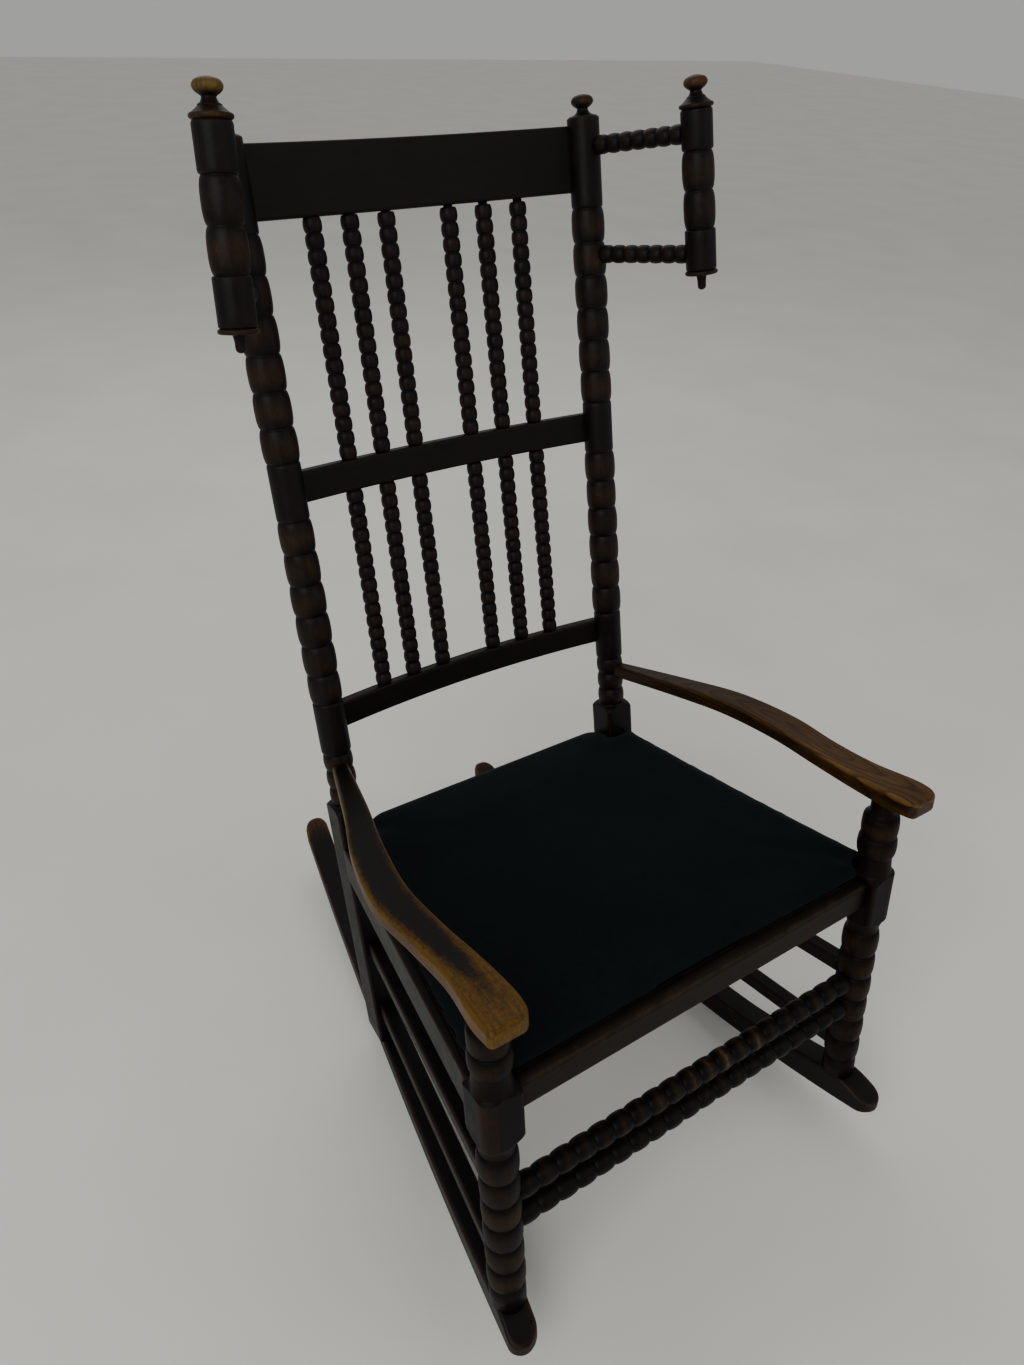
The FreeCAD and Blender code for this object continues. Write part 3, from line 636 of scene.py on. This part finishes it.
def makeBackPosts():
    p = backPost
    for word, side in chair["sides"].items():
        node = "back_post_" + word
        dice = random.Random(node)
        clear = p["half"] * squareClear
        rows = [(p["leg"] + z, clear, 0.1) for z in p["legRows"]]
        rows += [(p["blockTop"] - p["blockEase"], clear, 0.1), (p["blockTop"], clear, 0.2)]
        for k in range(1, p["shoulderSteps"]):
            t = k / p["shoulderSteps"]
            z = p["blockTop"] + (p["rings"] - p["blockTop"]) * t
            radius = p["neck"] + (clear - p["neck"]) * math.sqrt(1 - t * t)
            rows.append((z, radius, p["shoulderWear"] * (1 - t)))
        count, pitch, crest = p["ring"]
        rows += beadRow(p["rings"], count, pitch, crest, p["neck"], dice, barrel=p["ringBarrel"])
        z = p["rings"] + count * pitch
        count, pitch, crest = p["bead"]
        for plain in (p["lowPlain"], p["middlePlain"]):
            rows += plainTurn(z, z + plain, p["plain"], p["groove"])
            z += plain
            rows += beadRow(z, count, pitch, crest, p["groove"], dice)
            z += count * pitch
        top = z + p["topPlain"][word]
        dome = top - finial["dome"] - p["underDome"]
        rows += [r for r in plainTurn(z, top, p["plain"], p["groove"]) if r[0] < dome]
        rows += finialRows(top, p["plain"])
        rounds = {(a, b): p["corner"] for a in (True, False) for b in (True, False)}
        outline = squareOutline(p["half"], rounds, p["sides"])
        place = back @ Matrix.Translation((side * chair["backHalf"], 0, 0))
        turnedPiece("turned_" + node, rows, place, stain, [node], p["sides"], outline, rockerTop(word))
    return top


frontPost = {
    "half": 0.02125, "corner": 0.0025, "outerCorner": 0.013, "sides": 64,
    "foot": -0.335, "footRadius": 0.02, "footTop": -0.303, "footEase": 0.006,
    "beadLow": -0.296, "bead": (6, 0.036, 0.021), "groove": 0.0178,
    "blockLow": -0.052, "blockTop": 0.0, "blockEase": 0.01, "shoulderSteps": 8, "shoulderWear": 0.5,
    "lowShoulder": (0.0105, 0.8), "highShoulder": (0.0075, 1.3),  # height and curve
    "neck": 0.0186, "neckLow": 0.024, "ringLow": 0.0315, "ring": (0.0266, 0.0216, 0.0205), "ringBarrel": 2.0,
    "ringWear": 0.9, "top": 0.113, "topRadius": 0.0136,
}


def shoulderRows(low, high, start, end, curve):  # from one radius to another, on the way into or out of square
    steps = frontPost["shoulderSteps"]
    rows = []
    for k in range(1, steps + 1):
        t = k / steps
        rows.append((low + (high - low) * t, start + (end - start) * t ** curve, frontPost["shoulderWear"]))
    return rows


def makeFrontPosts():
    p = frontPost
    half, groove, neck = p["half"], p["groove"], p["neck"]
    foot, footTop = p["footRadius"], p["footTop"]
    blockLow, blockTop = p["blockLow"], p["blockTop"]
    clear = half * squareClear
    for word, side in chair["sides"].items():
        node = "front_post_" + word
        dice = random.Random(node)
        rows = [(p["foot"], foot, 0.2), (footTop - p["footEase"], foot, 0.4)]
        rows += smoothRow([(footTop, foot * 0.99, 0.5), (footTop + 0.004, foot * 0.94, 0.3),
                           (p["beadLow"] - 0.0003, groove, 0)])
        count, pitch, crest = p["bead"]
        rows += beadRow(p["beadLow"], count, pitch, crest, groove, dice)
        z = p["beadLow"] + count * pitch
        rows += [(z, groove, 0)]
        rise, curve = p["lowShoulder"]
        flatEnd = blockLow - rise
        rows += smoothRow([(z + 0.002, groove * 1.02, 0), (z + 0.009, groove * 1.06, 0.2),
                           (flatEnd, half, 0.5)])
        rows += shoulderRows(flatEnd, blockLow, half, clear, curve)
        rows += [(blockLow + p["blockEase"], clear, 0.2), (blockTop - p["blockEase"], clear, 0.2),
                 (blockTop, clear, 0.3)]
        rise, curve = p["highShoulder"]
        flatTop = blockTop + rise
        rows += shoulderRows(blockTop, flatTop, clear, half, curve)
        rows += smoothRow([(flatTop + 0.002, half * 0.97, 0.5), (flatTop + 0.008, neck * 1.05, 0.3),
                           (p["neckLow"], neck * 1.01, 0.1), (p["ringLow"] - 0.0004, neck, 0)])
        pitch, *crests = p["ring"]
        z = p["ringLow"]
        for crest in crests:
            rows += beadRow(z, 1, pitch, crest, neck, dice, barrel=p["ringBarrel"], wear=p["ringWear"])
            z += pitch
        radius = p["topRadius"]
        rows += smoothRow([(z, neck * 0.98, 0), (z + 0.003, radius * 1.12, 0.1), (z + 0.008, radius, 0.1),
                           (p["top"], radius, 0.1)])
        outer = side > 0
        rounds = {(a, b): p["outerCorner"] if a == outer and not b else p["corner"]
                  for a in (True, False) for b in (True, False)}
        outline = squareOutline(half, rounds, p["sides"])
        place = seat @ Matrix.Translation((side * chair["frontHalf"], 0, 0))
        turnedPiece("turned_" + node, rows, place, postStainShaded, [node], p["sides"], outline, rockerTop(word))


wing = {
    "reach": 0.14, "upper": (0.75, 0.003, 21.0), "lower": (0.639, 0.0095, 24.3),  # height, fall and splay
    "drop": 0.0025, "socket": 0.002, "radius": 0.01675, "bead": (2, 0.0376, 0.01725), "groove": 0.0142,
    "cap": 0.018, "capThick": 0.0045, "capRound": 0.0022, "capSteps": 8, "gap": 0.0002,
    "upperPlain": 0.0485, "lowerPlain": 0.0465, "upperEdge": 0.0035, "lowerEdge": 0.002,
    "pendant": 0.0052, "pendantLength": 0.016, "sides": 48, "knobWear": {"left": 2.0, "right": 1.4},
}


def ringRows(low, worn):  # thin round ring
    w = wing
    half = w["capThick"] / 2
    turns = [math.pi * (k / w["capSteps"] - 0.5) for k in range(w["capSteps"] + 1)]
    return [(low + half + half * math.sin(a), w["cap"] - w["capRound"] * (1 - math.cos(a)), worn)
            for a in turns]


def wingRows(dice, knobWear):
    w = wing
    groove, cap, dome = w["groove"], w["cap"], finial["dome"]
    count, pitch, crest = w["bead"]
    beadsTop = -w["upperPlain"]
    beadsLow = beadsTop - count * pitch
    low = beadsLow - w["lowerPlain"]
    long, thick = w["pendantLength"], w["pendant"]
    rows = smoothRow([
        (low - long, 0.0004, 0.6),
        (low - long + 0.0009, thick * 0.55, 0.8),
        (low - long * 0.8, thick * 0.86, 0.7),
        (low - long * 0.4, thick * 0.92, 0.3),
        (low - 0.001, thick * 1.1, 0.1),
    ])
    rows += ringRows(low, 1.0)
    rows += plainTurn(low + w["capThick"] + w["gap"], beadsLow, w["radius"], groove, w["lowerEdge"])
    rows += beadRow(beadsLow, count, pitch, crest, groove, dice)
    flange = -dome - w["capThick"]
    rows += plainTurn(beadsTop, flange - w["gap"], w["radius"], groove, w["upperEdge"])
    rows += ringRows(flange, 1.1)
    rows += smoothRow([(-dome + w["gap"], cap * 0.86, 0.7), (-dome * 0.4, cap * 0.66, 0.5),
                       (0, finial["collar"], 0.4)])
    return rows + [r for r in finialRows(0, cap, knobWear) if r[0] > 0.0005]


def makeWings(postTop):
    w = wing
    for word, side in chair["sides"].items():
        ends = {}
        for tier in ("upper", "lower"):
            at, fall, splay = w[tier]
            turn = math.radians(splay)
            ends[tier] = Vector((side * (chair["backHalf"] + w["reach"] * math.sin(turn)),
                                 -w["reach"] * math.cos(turn), at - fall))
            near = Vector((side * chair["backHalf"], 0, at))
            run = (ends[tier] - near).normalized()
            start = near + run * (backPost["plain"] - w["socket"])
            end = ends[tier] - run * (w["radius"] - w["socket"])
            node = "wing_spindle_%s_%s" % (tier, word)
            bobbinPiece("bobbin_" + node, node, back @ start, back @ end, bobbin["wing"], bobbin["crest"],
                        bobbin["groove"])
        run = ends["upper"] - ends["lower"]
        shoulder = ends["lower"] + run * ((postTop - w["drop"] - ends["lower"].z) / run.z)
        node = "wing_post_" + word
        rows = wingRows(random.Random(node), w["knobWear"][word])
        place = towards(back @ shoulder, back @ (shoulder + run))
        turnedPiece("turned_" + node, rows, place, stain, [node], w["sides"])


postTop = makeBackPosts()
makeFrontPosts()
makeWings(postTop)
print("posts and wings made")

# arms

arm = {
    "rows": (  # y, middle x, width, top and thickness
        (-0.042, 0.2605, 0.043, 0.1305, 0.020),
        (-0.020, 0.2599, 0.046, 0.1310, 0.022),
        (0.032, 0.2586, 0.039, 0.1280, 0.021),
        (0.090, 0.2631, 0.037, 0.1245, 0.020),
        (0.160, 0.2682, 0.039, 0.1240, 0.020),
        (0.235, 0.2571, 0.036, 0.1265, 0.020),
        (0.305, 0.23765, 0.029, 0.1240, 0.019),
        (0.420, 0.2090, 0.019, 0.1135, 0.017),
    ),
    "nose": 0.006, "short": 0.006, "rounding": 0.0042, "endRounding": 0.004, "tip": 0.015,
    "corners": {"left": (0.006, 0.012), "right": (0.015, 0.008)}, "tipSteps": 14, "steps": 84,  # outer, inner
    "cornerShare": 0.85, "thinBy": 0.8, "sharpenBy": 0.4, "grainAt": (0, -0.0105, -0.17), "topAbove": 0.006,
}
leftWear = {  # the finish is left along the middle of the top, and gone elsewhere
    "along": (0.0, 0.03, 0.1, 0.2, 0.3, 0.4, 0.5),
    "darkHalf": (-0.009, -0.0015, 0.008, 0.0145, 0.0152, 0.0118, 0.0065),
    "soft": 0.018, "least": 0.12, "most": 0.86, "sides": 0.74, "front": (0.15, 0.2), "edge": 0.2,
}
# right arm: the sides value is painted shade, which keeps the side faces darker than the top
rightWearAndShade = {"top": 0.5, "sides": 0.08, "least": 0.1, "front": (1.25, 0.36), "edge": (0.35, 0.4)}


def armRow(y):  # soft line through the rows
    rows = arm["rows"]
    last = len(rows) - 1
    i = max(0, min(last - 1, sum(1 for r in rows if r[0] <= y) - 1))
    t = (y - rows[i][0]) / (rows[i + 1][0] - rows[i][0])
    found = []
    for c in range(1, 5):
        def rate(j):
            j0, j1 = max(j - 1, 0), min(j + 1, last)
            return (rows[j1][c] - rows[j0][c]) / (rows[j1][0] - rows[j0][0])
        span = rows[i + 1][0] - rows[i][0]
        a, b = rows[i][c], rows[i + 1][c]
        found.append((2 * t ** 3 - 3 * t ** 2 + 1) * a + (t ** 3 - 2 * t ** 2 + t) * span * rate(i)
                     + (-2 * t ** 3 + 3 * t ** 2) * b + (t ** 3 - t ** 2) * span * rate(i + 1))
    return found


def cornerCut(depth, radius):  # how far a rounded corner pulls the side in, at a depth from the front
    if depth >= radius:
        return 0.0
    return radius - math.sqrt(radius ** 2 - (radius - depth) ** 2)


def leftArmWear(x, z, along, edge):
    w = leftWear
    if z > arm["topAbove"]:
        dark = np.interp(along, w["along"], w["darkHalf"])
        return min(w["most"], max(w["least"], 0.5 + (abs(x) - dark) / w["soft"])) + w["edge"] * edge
    more, reach = w["front"]
    return w["sides"] + more * max(0, 1 - along / reach) + w["edge"] * edge


def rightArmWearAndShade(x, z, along, edge):
    w = rightWearAndShade
    # side faces take the low sides value: painted shade, not wear
    shown = w["top"] if z > arm["topAbove"] else w["sides"]
    start, fall = w["front"]
    more, reach = w["edge"]
    return shown * min(1, max(w["least"], start - along / fall)) + more * edge * max(0, 1 - along / reach)


def makeArms():
    front, end = arm["rows"][0][0] - arm["nose"], arm["rows"][-1][0] - arm["short"]
    tip, tipSteps, steps = arm["tip"], arm["tipSteps"], arm["steps"]
    places = [front + tip * (1 - math.cos(math.pi / 2 * k / tipSteps)) for k in range(tipSteps + 1)]
    places += [front + tip + (end - front - tip) * k / steps for k in range(1, steps + 1)]
    looks = {"left": (leftArmWood, leftArmWear), "right": (rightArmWood, rightArmWearAndShade)}
    for word, side in chair["sides"].items():
        stations = []
        for y in places:
            middle, width, top, thick = armRow(max(y, arm["rows"][0][0]))
            depth = y - front
            shrink = cornerCut(depth, arm["endRounding"])
            outer, inner = [width / 2 - arm["cornerShare"] * cornerCut(depth, r) for r in arm["corners"][word]]
            middle += (outer - inner) / 2
            stations.append((Vector((side * middle, y, top - thick / 2)), Vector((1, 0, 0)), Vector((0, 0, 1)),
                             (outer + inner) / 2, thick / 2 - shrink * arm["thinBy"],
                             arm["rounding"] - shrink * arm["sharpenBy"], 0.0))
        node = "arm_" + word
        finish, wearAt = looks[word]
        barPiece("shaped_" + node, stations, seat, finish, [node], arm["grainAt"], wearAt)


makeArms()
print("arms made")

# seat rails and stretchers

sticks = {
    "rail": 0.02, "railHeight": 0.048, "railOut": 0.008, "railIn": (0.015, 0.014), "railRounding": 0.003,
    "backOut": 0.008, "tenon": 0.012, "frontRail": 0.022, "frontHeight": 0.035, "frontRounding": 0.005,
    "frontWear": 0.1, "stick": 0.02, "stickRounding": 0.0035, "stickIn": (0.009, 0.008),
    "upper": (-0.152, -0.159), "lower": (-0.278, -0.262), "backAt": -0.19, "steps": 24,
}
# the upper stretcher's strong, narrow crest wear makes tan stripes that are partly real wear and partly painted
# highlight
bobbinStretcher = {
    "crest": 0.0127, "groove": 0.0099, "bobbins": 20, "socket": 0.005,
    "at": {"front_stretcher_upper": -0.161, "front_stretcher_lower": -0.204},
    "wear": {"front_stretcher_upper": 1.7, "front_stretcher_lower": 0.8}, "wearFade": 0.75, "wearAndHighlightNarrow": 8,
}


def straightBar(name, start, end, width, height, rounding, node, worn=0.0, finish=stain):
    run = (end - start).normalized()
    side = run.cross(Vector((0, 0, 1))).normalized()
    up = side.cross(run)
    steps = sticks["steps"]
    stations = []
    for k in range(steps + 1):
        stations.append((start + (end - start) * (k / steps), side, up, width / 2, height / 2, rounding, worn))
    return barPiece(name, stations, seat, finish, [node])


def makeSideSticks(word, side):
    s = sticks
    fh, bh, depth = chair["frontHalf"], chair["backHalf"], chair["seatDepth"]
    run = Vector((side * (bh - fh), depth, 0)).normalized()
    out = Vector((side * abs(run.y), abs(run.x), 0)) * s["railOut"]
    mid = -s["railHeight"] / 2
    start = Vector((side * fh, 0, mid)) + out + run * s["railIn"][0]
    end = Vector((side * bh, depth, mid)) + out - run * s["railIn"][1]
    straightBar("plank_seat_rail_side_" + word, start, end, s["rail"], s["railHeight"], s["railRounding"],
                "seat_rail_side_" + word)
    for tier in ("upper", "lower"):
        zFront, zBack = s[tier]
        start = Vector((side * fh, 0, zFront))
        end = Vector((side * bh, depth + zBack * math.tan(lean), zBack))
        run = (end - start).normalized()
        start, end = start + run * s["stickIn"][0], end - run * s["stickIn"][1]
        straightBar("stick_side_%s_%s" % (tier, word), start, end, s["stick"], s["stick"], s["stickRounding"],
                    "side_stretcher_%s_%s" % (tier, word))


def makeSticks():
    s, b = sticks, bobbinStretcher
    for word, side in chair["sides"].items():
        makeSideSticks(word, side)
    reach = chair["frontHalf"] - frontPost["half"] + s["tenon"]
    z = -s["frontHeight"] / 2
    straightBar("plank_seat_rail_front", Vector((-reach, 0, z)), Vector((reach, 0, z)), s["frontRail"],
                s["frontHeight"], s["frontRounding"], "seat_rail_front", s["frontWear"], frontStain)
    reach = chair["backHalf"] - backPost["half"] + s["tenon"]
    y, z = chair["seatDepth"] + s["backOut"], -s["railHeight"] / 2
    straightBar("plank_seat_rail_back", Vector((-reach, y, z)), Vector((reach, y, z)), s["rail"],
                s["railHeight"], s["railRounding"], "seat_rail_back")
    y, z = chair["seatDepth"] + s["backAt"] * math.tan(lean), s["backAt"]
    straightBar("stick_back", Vector((-reach, y, z)), Vector((reach, y, z)), s["stick"], s["stick"],
                s["stickRounding"], "back_stretcher")
    half = chair["frontHalf"] - frontPost["bead"][2] + b["socket"]
    for node, z in b["at"].items():
        start, end = seat @ Vector((-half, 0, z)), seat @ Vector((half, 0, z))
        bobbinPiece("bobbin_" + node, node, start, end, b["bobbins"], b["crest"], b["groove"], b["wear"][node],
                    b["wearFade"], b["wearAndHighlightNarrow"], stretcherStainShadeAndHighlight)


makeSticks()
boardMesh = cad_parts["seat_board"].data
boardMesh.materials.clear()
boardMesh.materials.append(stainedCad)
print("seat rails and stretchers made")

# velvet pad

pad = {
    "voxel": 0.0045, "pressure": 4.0, "quality": 6, "frames": 20, "start": 0.0012, "fill": 0.7,
    "cap": 0.004, "nearCap": 0.0009, "nearPost": 0.014, "postStart": 0.1, "underside": 0.0006,
    "heldHeight": 0.006, "softenBy": 0.45, "softenTimes": 3, "backCorner": (0.16, 0.407),
    "tuck": (0.0096, 0.016), "tuckRadius": 0.0216, "tuckReach": 0.034,
    "tuckTurn": (185, 80, 12),  # first and last angle, and steps between them
}
velvet = {
    "napScale": 9, "napShare": 0.6, "lintScale": 130, "lintShare": 0.4, "pileScale": 1500, "pileBump": 0.35,
    "pileDepth": 0.0006, "colours": (
        (0.3, (0.0012, 0.0025, 0.0027)),
        (0.55, (0.002, 0.004, 0.0043)),
        (0.8, (0.0038, 0.007, 0.0073)),
    ),
    "values": {
        "Roughness": 0.9, "Specular IOR Level": 0.1, "Sheen Weight": 0.045, "Sheen Roughness": 0.45,
        "Sheen Tint": (0.25, 0.5, 0.52, 1),
    },
}


def velvetFinish():
    v = velvet
    finish, tree, shader = newFinish("velvet")
    place = addNode(tree, "ShaderNodeTexCoord").outputs["Object"]
    nap = noise(tree, place, v["napScale"], 4, 0.6)
    pile = noise(tree, place, v["pileScale"], 2, 0.6)
    lint = noise(tree, place, v["lintScale"], 5, 0.75)
    colour = ramp(tree, swing(tree, 0.5, (nap, v["napShare"]), (lint, v["lintShare"])), v["colours"])
    tree.links.new(colour, shader.inputs["Base Color"])
    values = {"Strength": v["pileBump"], "Distance": v["pileDepth"], "Height": pile}
    bump = addNode(tree, "ShaderNodeBump", values)
    tree.links.new(bump.outputs[0], shader.inputs["Normal"])
    for socket, value in v["values"].items():
        shader.inputs[socket].default_value = value
    return finish


tiny = 1e-9  # keeps a division by a length from failing


def moved(points, space):
    return (np.c_[points, np.ones(len(points))] @ np.array(space).T)[:, :3]


def postGap(points):  # 0 at a post's face, 1 well clear of it
    inSeat = moved(points, seat.inverted())
    clear = np.ones(len(points))
    posts = []
    for side in chair["sides"].values():
        posts.append((side * chair["frontHalf"], 0, frontPost["half"]))
        posts.append((side * chair["backHalf"], chair["seatDepth"], backPost["half"]))
    for x, y, half in posts:
        gap = np.maximum(abs(inSeat[:, 0] - x), abs(inSeat[:, 1] - y)) - half
        clear = np.minimum(clear, np.clip(gap / pad["nearPost"] - pad["postStart"], 0, 1))
    return clear


def tuckedCorner(side):  # block that fills the pad up to the round neck of a front post
    far, radius = pad["tuckReach"], pad["tuckRadius"]
    first, last, steps = pad["tuckTurn"]
    turns = [math.radians(first + (last - first) * k / steps) for k in range(steps + 1)]
    plan = [(radius * math.cos(a), radius * math.sin(a)) for a in turns]
    plan = [(-far, plan[0][1])] + plan + [(plan[-1][0], far), (-far, far)]
    points = []
    for z in pad["tuck"]:
        points += [seat @ Vector((side * (chair["frontHalf"] + x), y, z)) for x, y in plan]
    count = len(plan)
    faces = [tuple(range(count))[::-1], tuple(range(count, 2 * count))]
    faces += [(k, (k + 1) % count, count + (k + 1) % count, count + k) for k in range(count)]
    if side > 0:
        return points, [f[::-1] for f in faces]
    return points, faces


def padStart():
    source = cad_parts["seat_pad"]
    points = [source.matrix_world @ v.co for v in source.data.vertices]
    faces = [tuple(f.vertices) for f in source.data.polygons]
    for side in chair["sides"].values():
        more, skinned = tuckedCorner(side)
        faces += [tuple(i + len(points) for i in f) for f in skinned]
        points += more
    mesh = bpy.data.meshes.new("velvetPad")
    mesh.from_pydata([tuple(p) for p in points], [], faces)
    return mesh


def roundBack(points):  # the two back corners go from square to round
    inSeat = moved(points, seat.inverted())
    cornerX, cornerY = pad["backCorner"]
    u = abs(inSeat[:, 0]) - cornerX
    v = inSeat[:, 1] - cornerY
    inside = (u > 0) & (v > 0)
    scale = np.where(inside, np.maximum(u, v) / np.maximum(np.hypot(u, v), tiny), 1)
    inSeat[:, 0] = np.where(inside, np.sign(inSeat[:, 0]) * (cornerX + u * scale), inSeat[:, 0])
    inSeat[:, 1] = np.where(inside, cornerY + v * scale, inSeat[:, 1])
    return moved(inSeat, seat)


def setPoints(piece, points):
    piece.data.vertices.foreach_set("co", points.astype(np.float32).ravel())
    piece.data.update()


def pressOut(piece, before):  # the pad swells under pressure, by no more than its cap
    normals = np.array([v.normal for v in piece.data.vertices])
    setPoints(piece, before - normals * pad["start"])
    cloth = piece.modifiers.new("cloth", "CLOTH")
    cloth.settings.use_pressure = True
    cloth.settings.uniform_pressure_force = pad["pressure"]
    cloth.settings.effector_weights.gravity = 0
    cloth.settings.quality = pad["quality"]
    for f in range(1, pad["frames"] + 1):
        scene.frame_set(f)
    bpy.ops.object.modifier_apply(modifier="cloth")
    scene.frame_set(1)
    move = np.array([v.co for v in piece.data.vertices]) - before
    size = np.linalg.norm(move, axis=1, keepdims=True)
    cap = pad["nearCap"] + (pad["cap"] - pad["nearCap"]) * postGap(before)[:, None]
    move *= np.minimum(1, cap / np.maximum(size, tiny))
    height = (before - np.array(seat.translation)) @ np.array(seat.col[2][:3])
    low = height.min() + pad["underside"]
    hold = np.clip((height - low) / pad["heldHeight"], 0, 1)[:, None]  # flat where it lies on the board
    setPoints(piece, before + move * hold)


def makePad():
    piece = bpy.data.objects.new("velvetPad", padStart())
    scene.collection.objects.link(piece)
    bpy.context.view_layer.objects.active = piece
    for other in bpy.context.selected_objects:
        other.select_set(False)
    piece.select_set(True)
    remesh = piece.modifiers.new("remesh", "REMESH")
    remesh.mode = "VOXEL"
    remesh.voxel_size = pad["voxel"]
    bpy.ops.object.modifier_apply(modifier="remesh")
    before = roundBack(np.array([v.co for v in piece.data.vertices]))
    setPoints(piece, before)
    pressOut(piece, before)
    soften = piece.modifiers.new("soften", "SMOOTH")
    soften.factor = pad["softenBy"]
    soften.iterations = pad["softenTimes"]
    bpy.ops.object.modifier_apply(modifier="soften")
    rounder = piece.modifiers.new("rounder", "SUBSURF")
    rounder.levels = 1
    rounder.render_levels = 1
    bpy.ops.object.modifier_apply(modifier="rounder")
    piece.data.shade_smooth()
    piece.data.materials.clear()
    piece.data.materials.append(velvetFinish())
    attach(piece, "root")
    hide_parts("seat_pad")


makePad()
print("velvet pad made")

# floor, light and camera

stageLook = {
    "floor": (0.82, 0.795, 0.74), "floorSize": 30, "floorCells": 8, "floorRough": 0.6,
    "cloudScale": 3, "cloud": (0.96, 1.03),
    "world": (0.85, 0.86, 0.84), "worldStrength": 0.47,
    "lights": (  # place, aim, size, power
        ((-2.4, -1.6, 2.6), (0, 0, 0.5), 2.2, 53),
        ((1.8, -2.4, 2.2), (0, 0, 0.4), 2.5, 14),
        ((0.6, 2.2, 2.8), (0, 0, 0.6), 2.4, 20),
    ),
}
photoView = {  # in the seat's space: the eye, then what is right, down and forward in the picture
    "eye": (-0.5316, -0.51976, 0.74225), "right": (0.84131, -0.53890, -0.04206),
    "down": (-0.29083, -0.38569, -0.87559), "forward": (0.45564, 0.74887, -0.48122),
    "focal": 25.292, "sensor": 36, "nearest": 0.01,
}


def makeStage():
    look = stageLook
    cells = look["floorCells"]
    bpy.ops.mesh.primitive_grid_add(x_subdivisions=cells, y_subdivisions=cells, size=look["floorSize"])
    floor = bpy.context.object
    floor.name = "floor"
    finish, tree, shader = newFinish("paleFloor")
    place = addNode(tree, "ShaderNodeTexCoord").outputs["Object"]
    values = {"Vector": place, "Scale": look["cloudScale"], "Detail": 3}
    cloud = addNode(tree, "ShaderNodeTexNoise", values).outputs["Fac"]
    dim, bright = [tuple(c * share for c in look["floor"]) for share in look["cloud"]]
    tree.links.new(ramp(tree, cloud, ((0.3, dim), (0.7, bright))), shader.inputs["Base Color"])
    shader.inputs["Roughness"].default_value = look["floorRough"]
    floor.data.materials.append(finish)
    world = bpy.data.worlds.new("studio")
    world.use_nodes = True
    scene.world = world
    shade = world.node_tree.nodes["Background"]
    shade.inputs["Color"].default_value = (*look["world"], 1)
    shade.inputs["Strength"].default_value = look["worldStrength"]
    for i, (place, aim, size, power) in enumerate(look["lights"]):
        lamp = bpy.data.lights.new("softLight%d" % (i + 1), "AREA")
        lamp.size = size
        lamp.energy = power
        holder = bpy.data.objects.new(lamp.name, lamp)
        scene.collection.objects.link(holder)
        holder.location = place
        holder.rotation_euler = (Vector(aim) - Vector(place)).to_track_quat("-Z", "Y").to_euler()


def makeCamera():
    view = bpy.data.cameras.new("photoView")
    view.sensor_fit = "AUTO"
    view.sensor_width = photoView["sensor"]
    view.lens = photoView["focal"]
    view.clip_start = photoView["nearest"]
    holder = bpy.data.objects.new("photoView", view)
    scene.collection.objects.link(holder)
    held = seat.to_3x3()
    right, down, forward = [held @ Vector(photoView[word]) for word in ("right", "down", "forward")]
    turn = Matrix((right, -down, -forward)).transposed().to_4x4()
    turn.translation = seat @ Vector(photoView["eye"])
    holder.matrix_world = turn
    scene.camera = holder


makeStage()
makeCamera()
print("stage and camera made")
